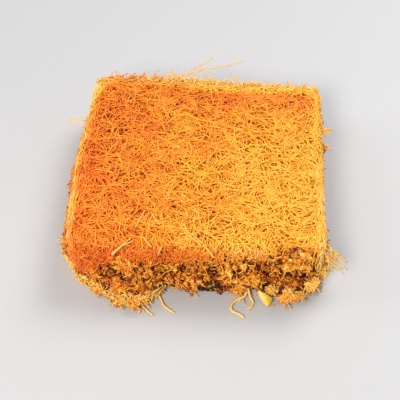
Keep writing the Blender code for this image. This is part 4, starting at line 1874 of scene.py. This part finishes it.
@dataclass(frozen=True)
class BasePastry(PastryPart):
    """The pale lower pastry: a core, strands round its sides, fanned ends, clumps and fallen strands."""

    # browned more, partly as painted warm shade low on the sides
    along: Mat = Mat(2300, (0.006, 0.016), (-0.0016, 0.0005), steps=6, curl=50.0,
                     shade=0.32, dullest=0.0, sides=3)
    fan: Mat = Mat(360, (0.005, 0.01), (0.0, 0.0024), (0.001, 0.0013), steps=6, curl=60.0,
                   shade=0.1, dullest=0.3)
    fan_turn: float = 0.65  # either way from straight out, radians
    fan_height: float = 0.01
    fan_spill: float = 0.003  # how far out along the floor it may start
    left_fan: Span = (210, 257)  # degrees
    right_fan: Span = (316, 338)
    right_fan_share: float = 0.78  # how thick it is beside the left one
    ends: tuple[Spray, ...] = (
        Spray(204, 254, 160, 0.001, 0.01, (0.003, 0.0075), 0.6, 0.15),
        Spray(321, 329, 44, 0.006, 0.02, (0.002, 0.0045), 0.9, 0.2, lean=-0.3),
        Spray(300, 319, 30, 0.001, 0.008, (0.002, 0.0035), 0.8, 0.3),
        Spray(0, 198, 130, 0.001, 0.01, (0.002, 0.004), 0.9, 0.4),
    )
    clumps: tuple = (
        (-0.052, -0.0965, 0.005, 0.0042), (-0.04, -0.099, 0.0045, 0.0042), (-0.066, -0.089, 0.0055, 0.004),
        (-0.034, -0.093, 0.0045, 0.0036), (0.061, -0.0882, 0.0035, 0.0034), (0.067, -0.0872, 0.004, 0.0038),
        (0.0775, -0.0818, 0.0105, 0.0038), (0.0795, -0.0765, 0.008, 0.0044), (0.085, -0.069, 0.009, 0.004),
        (0.08, -0.0795, 0.0125, 0.0034), (-0.0017, -0.08, 0.003, 0.0028), (0.0305, -0.0815, 0.003, 0.0036),
        (0.052, -0.0825, 0.005, 0.0034), (0.0845, -0.07, 0.017, 0.0036), (0.0712, -0.085, 0.004, 0.0026),
        (0.0635, -0.0846, 0.0066, 0.0034),
    )
    corners_at: tuple = (203, 212, 252, 256, 304, 308, 321, 329)  # of the fans, in degrees
    corner_shares: tuple = (1, 0.5, 0.5, 1, 1, 0.5, 0.5, 1)  # of the side strands' points that stay
    clump_ends: int = 26
    clump_crumbs: int = 90
    fallen_look: tuple[float, float] = (1.0, 0.06)  # tone and browning
    fallen_thickness: tuple[float, ...] = (0.0015, 0.0014, 0.0019, 0.0018)
    fallen: tuple = (
        ((-0.03, -0.08, 0.004), (-0.024, -0.09, 0.0016), (-0.02, -0.097, 0.0009),
         (-0.013, -0.102, 0.0009)),
        ((-0.04, -0.092, 0.003), (-0.034, -0.099, 0.0016), (-0.027, -0.105, 0.0009)),
        ((0.036, -0.078, 0.004), (0.034, -0.086, 0.002), (0.028, -0.0895, 0.001),
         (0.025, -0.094, 0.0009), (0.0257, -0.098, 0.0009), (0.0295, -0.1, 0.0009),
         (0.034, -0.103, 0.0009)),
        ((0.035, -0.078, 0.005), (0.0375, -0.0865, 0.0022), (0.0395, -0.0905, 0.0012),
         (0.038, -0.0945, 0.0009), (0.0355, -0.096, 0.0009)),
    )

    def build(self) -> list[Piece]:
        """Build the base's pieces.

        Returns:
            The new objects.
        """
        core, spots = Core(Layer.BASE, 0.0022, 0.001, 0.006, (110, 100, 6)).build(self.form)
        # darker above the base's top and where the foot is of crumbs: painted shade in the recesses there
        side = np.where(spots[:, 2] < self.form.base_top(spots[:, 0]) - 0.001, 0.45, 0.1)
        set_trait(core.data, "full", side * Build().foot(np.arctan2(spots[:, 1], spots[:, 0])))
        depth = CoreFinish("base_depth", dark=(0.05, 0.006, 0.002), middle=(0.34, 0.055, 0.005),
                           light=(0.74, 0.24, 0.018))
        core.data.materials.append(depth.material())
        finish = StrandFinish("pale_strands").material()
        fan_finish = StrandFinish("fanned_strands", (1.0, 0.66, 0.18), (0.98, 0.5, 0.065)).material()
        crumb_finish = CrumbFinish("foot_crumbs", browned=(1.0, 0.96, 0.85))
        strands, crumbs = self._clumped()
        return [
            core,
            self._side_strands().object("base_side_strands", finish),
            self._fanned().object("base_fanned_strands", fan_finish),
            strands.object("foot_clumps", fan_finish),
            crumbs.object("foot_crumbs", crumb_finish.material()),
            self._fallen().object("fallen_strands", fan_finish),
        ]

    def _side_strands(self) -> Bundle:
        """Gather the strands that lie along the sides of the base.

        Returns:
            The strands.
        """
        bundle = Bundle(self.form, self.along.sides)
        self._lay(bundle, self.along, self._is_side)
        return bundle

    def _is_side(self, flat: Array) -> Array:
        """Pick points on the sides of the base, fewer at the fans and where the foot is of crumbs.

        Args:
            flat: points (..., 2) of the flat sheet.

        Returns:
            Whether each is picked.
        """
        angle, drop = self.form.unfold(flat)
        x = self.form.side_radius(angle, 0.0) * np.cos(angle)
        corner = np.interp(degrees_round(angle), self.corners_at, self.corner_shares)
        bare = self.draw.uniform(0, 1, angle.shape) > Build().foot(angle) * corner
        height = self.form.height - drop
        return (height < self.form.base_top(x) + 0.0015) & (height > 0.0004) & ~bare

    def _fanned(self) -> Bundle:
        """Gather the strands that fan out over the swollen feet at the front corners.

        Returns:
            The strands.
        """
        bundle = Bundle(self.form)

        def outward(flat: Array) -> Array:
            """Directions more or less straight out from the middle."""
            return self.form.unfold(flat)[0] + self.draw.normal(0, self.fan_turn, len(flat))

        self._lay(bundle, self.fan, self._is_swollen, outward)
        self._spray(bundle, self.ends)
        return bundle

    def _is_swollen(self, flat: Array) -> Array:
        """Pick points on the swollen feet at the front corners, fewer at the right.

        Args:
            flat: points (..., 2) of the flat sheet.

        Returns:
            Whether each is picked.
        """
        angle, drop = self.form.unfold(flat)
        turn, height = degrees_round(angle), self.form.height - drop
        thinned = self.draw.uniform(0, 1, turn.shape) < self.right_fan_share
        picked = between(turn, *self.left_fan) | between(turn, *self.right_fan) & thinned
        return picked & between(height, -self.fan_spill, self.fan_height)

    def _clumped(self) -> tuple[Bundle, Rubble]:
        """Gather the clumps that sag out at the foot of the front.

        Returns:
            Their strand ends and their crumbs.
        """
        bundle, rubble, draw = Bundle(self.form), Rubble(), self.draw
        places, out = heaped(self.clumps, self.clump_ends, draw)
        ways = unit(draw.normal(size=places.shape) + out * 0.3)
        strands = sprout(places, ways, draw.uniform(0.0014, 0.0036, len(places)), 0.8, 5, draw)
        self._add(bundle, strands, shade=0.12, dullest=0.2)
        places, _ = heaped(self.clumps, self.clump_crumbs, draw)
        count = len(places)
        # paler higher up and darker near the floor: painted light and shade; paler too at the right
        tone = draw.normal(0.56, 0.18, count) + 60 * (places[:, 2] - 0.004) + 0.14 * (places[:, 0] > 0.05)
        rubble.add(places, draw.uniform(0.0007, 0.0016, count), tone, draw)
        return bundle, rubble

    def _fallen(self) -> Bundle:
        """Gather the long strands that lie in front of the slab.

        Returns:
            The strands.
        """
        bundle = Bundle(self.form)
        for places, thickness in zip(self.fallen, self.fallen_thickness):
            add_wisp(bundle, places, thickness, *self.fallen_look)
        return bundle

    def _add(self, bundle: Bundle, strands: Strands, shade: float, dullest: float) -> None:
        """Add strands that are paler towards their tips.

        Args:
            bundle: what they are added to.
            strands: the strands.
            shade: how browned they are at the start, on the whole.
            dullest: tone of the dullest of them.
        """
        count, steps = strands[0].shape[:2]
        brown = self.draw.normal(shade, 0.14, (count, 1)) - 0.18 * np.linspace(0, 1, steps)[None]
        bundle.add(strands, self.draw.uniform(dullest, 1, count), brown)


@dataclass(frozen=True)
class NutPiece:
    """A pale four-cornered sliver of nut that leans on the foot of the front."""

    tip: tuple = (0.0419, -0.0842, 0.0074)
    left: tuple = (0.0432, -0.0882, 0.0042)
    foot: tuple = (0.0497, -0.095, 0.0024)
    right: tuple = (0.0536, -0.0884, 0.004)
    thickness: float = 0.005
    sharpness: float = 0.62  # 0 for an oval, 1 for full corners
    ridge: float = 0.35  # how much thicker it is along its middle
    green_at: tuple = (0.0505, -0.0905, 0.0055)  # where it is yellower
    green_radius: float = 0.0042

    def build(self) -> list[Piece]:
        """Build the nut: a ball pressed into a four-cornered sliver.

        Returns:
            The new object, alone in a list.
        """
        obj = modelled("nut_sliver", bpy.ops.mesh.primitive_ico_sphere_add, subdivisions=5, radius=1.0)
        spots = reshape(obj, self._place)
        away = np.linalg.norm(spots - self.green_at, axis=1) / self.green_radius
        set_trait(obj.data, "green", np.clip(1.3 - away, 0, 1))
        obj.data.materials.append(NutFinish().material())
        return [obj]

    def _place(self, ball: Array) -> Array:
        """Press the ball into shape.

        Args:
            ball: its points (n, 3).

        Returns:
            Their new places (n, 3).
        """
        flat, up = ball[:, :2], ball[:, 2:]
        far = np.linalg.norm(flat, axis=1) / np.maximum(np.abs(flat).max(axis=1), 1e-9)
        u, v = (flat * far[:, None] ** self.sharpness).T[..., None]
        corners = [np.array(corner) for corner in (self.tip, self.left, self.foot, self.right)]
        shares = ((1 - u) * (1 - v), (1 + u) * (1 - v), (1 + u) * (1 + v), (1 - u) * (1 + v))
        spots = sum(share * corner for share, corner in zip(shares, corners)) / 4
        crest = 1.0 + self.ridge * np.maximum(0.0, 1.0 - 2.5 * np.abs(v + 0.3 * u))
        spots += up * crest * (0.1, -0.25, 0.95) * self.thickness / 2
        spots += 0.0003 * waves(spots, 0.003, 4.0)[:, None]
        spots[:, 2] = np.maximum(spots[:, 2], 0.0)
        return spots


# ---- studio


@dataclass(frozen=True)
class Studio:
    """A pale floor, soft light and the camera at the photograph's viewing angle."""

    azimuth: float = 3.908
    elevation: float = 51.09
    distance: float = 0.6356
    aim: tuple[float, float, float] = (-0.0018, -0.0029, 0.0)
    roll: float = -0.494
    focal_pixels: float = 853.3
    frame_pixels: float = 400.0
    sensor: float = 36.0
    sky: float = 0.38

    def camera(self) -> None:
        """Add the camera."""
        data = bpy.data.cameras.new("photo_camera")
        data.sensor_width = self.sensor
        data.lens = self.focal_pixels / self.frame_pixels * self.sensor
        data.clip_start, data.clip_end = 0.01, 20.0
        a, e = math.radians(self.azimuth), math.radians(self.elevation)
        back = Vector((math.sin(a) * math.cos(e), -math.cos(a) * math.cos(e), math.sin(e)))
        roll = Quaternion((0, 0, 1), math.radians(self.roll))
        bpy.context.scene.camera = self._stand(data, Vector(self.aim) + back * self.distance, back, roll)

    @staticmethod
    def _stand(data: bpy.types.ID, where: Vector, back: Vector, roll: Quaternion) -> Piece:
        """Put a camera or a light in the scene.

        Args:
            data: the camera or light, whose name the object gets.
            where: its place.
            back: the direction that it faces away from.
            roll: its turn about its own view.

        Returns:
            The new object.
        """
        obj = bpy.data.objects.new(data.name, data)
        obj.location = where
        obj.rotation_mode = "QUATERNION"
        obj.rotation_quaternion = (-back).to_track_quat("-Z", "Y") @ roll
        bpy.context.scene.collection.objects.link(obj)
        return obj

    def floor(self) -> None:
        """Add the floor."""
        floor = modelled("floor", bpy.ops.mesh.primitive_plane_add, size=6.0, location=(0, 0, -0.0001))
        floor.data.materials.append(FloorFinish().material())

    def light(self, name: str, where: tuple[float, float, float], size: float, power: float,
              colour: Colour = (1, 1, 1)) -> None:
        """Add a square soft light that faces the slab.

        Args:
            name: the light's name.
            where: its place.
            size: its side.
            power: in watts.
            colour: its colour.
        """
        data = bpy.data.lights.new(name, "AREA")
        data.size, data.energy, data.color = size, power, colour
        self._stand(data, Vector(where), Vector(where), Quaternion())

    def build(self) -> None:
        """Build the whole studio."""
        self.camera()
        self.floor()
        self.light("key_light", (0.55, 0.75, 1.1), 0.7, 14.9)
        self.light("front_light", (-0.35, -0.9, 0.95), 0.45, 14.5, (1.0, 0.97, 0.92))
        self.light("left_light", (-1.2, 0.1, 0.7), 0.7, 5.0)
        world = bpy.data.worlds.new("soft_room")
        world.use_nodes = True
        world.node_tree.nodes["Background"].inputs["Color"].default_value = (1, 1, 1, 1)
        world.node_tree.nodes["Background"].inputs["Strength"].default_value = self.sky
        bpy.context.scene.world = world
        bpy.context.scene.view_settings.view_transform = "Standard"


# ---- all together


def hand_over(pieces: list[Piece], node: str) -> None:
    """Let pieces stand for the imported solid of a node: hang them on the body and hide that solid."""
    for piece in pieces:
        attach(piece, BODY)
        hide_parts(node)
        LOG.info("%s: %d faces for %s", piece.name, len(piece.data.polygons), node)


def main() -> None:
    """Build the studio and the slab."""
    logging.basicConfig(level=logging.INFO, format="%(message)s")
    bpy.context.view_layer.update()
    form = SlabForm()
    Studio().build()
    hand_over(TopPastry(form, np.random.default_rng(11)).build(), "top_pastry")
    hand_over(NutFilling(form, np.random.default_rng(12)).build(), "nut_filling")
    hand_over(BasePastry(form, np.random.default_rng(13)).build(), "base_pastry")
    hand_over(NutPiece().build(), "nut_piece")


if __name__ == "__main__":
    main()
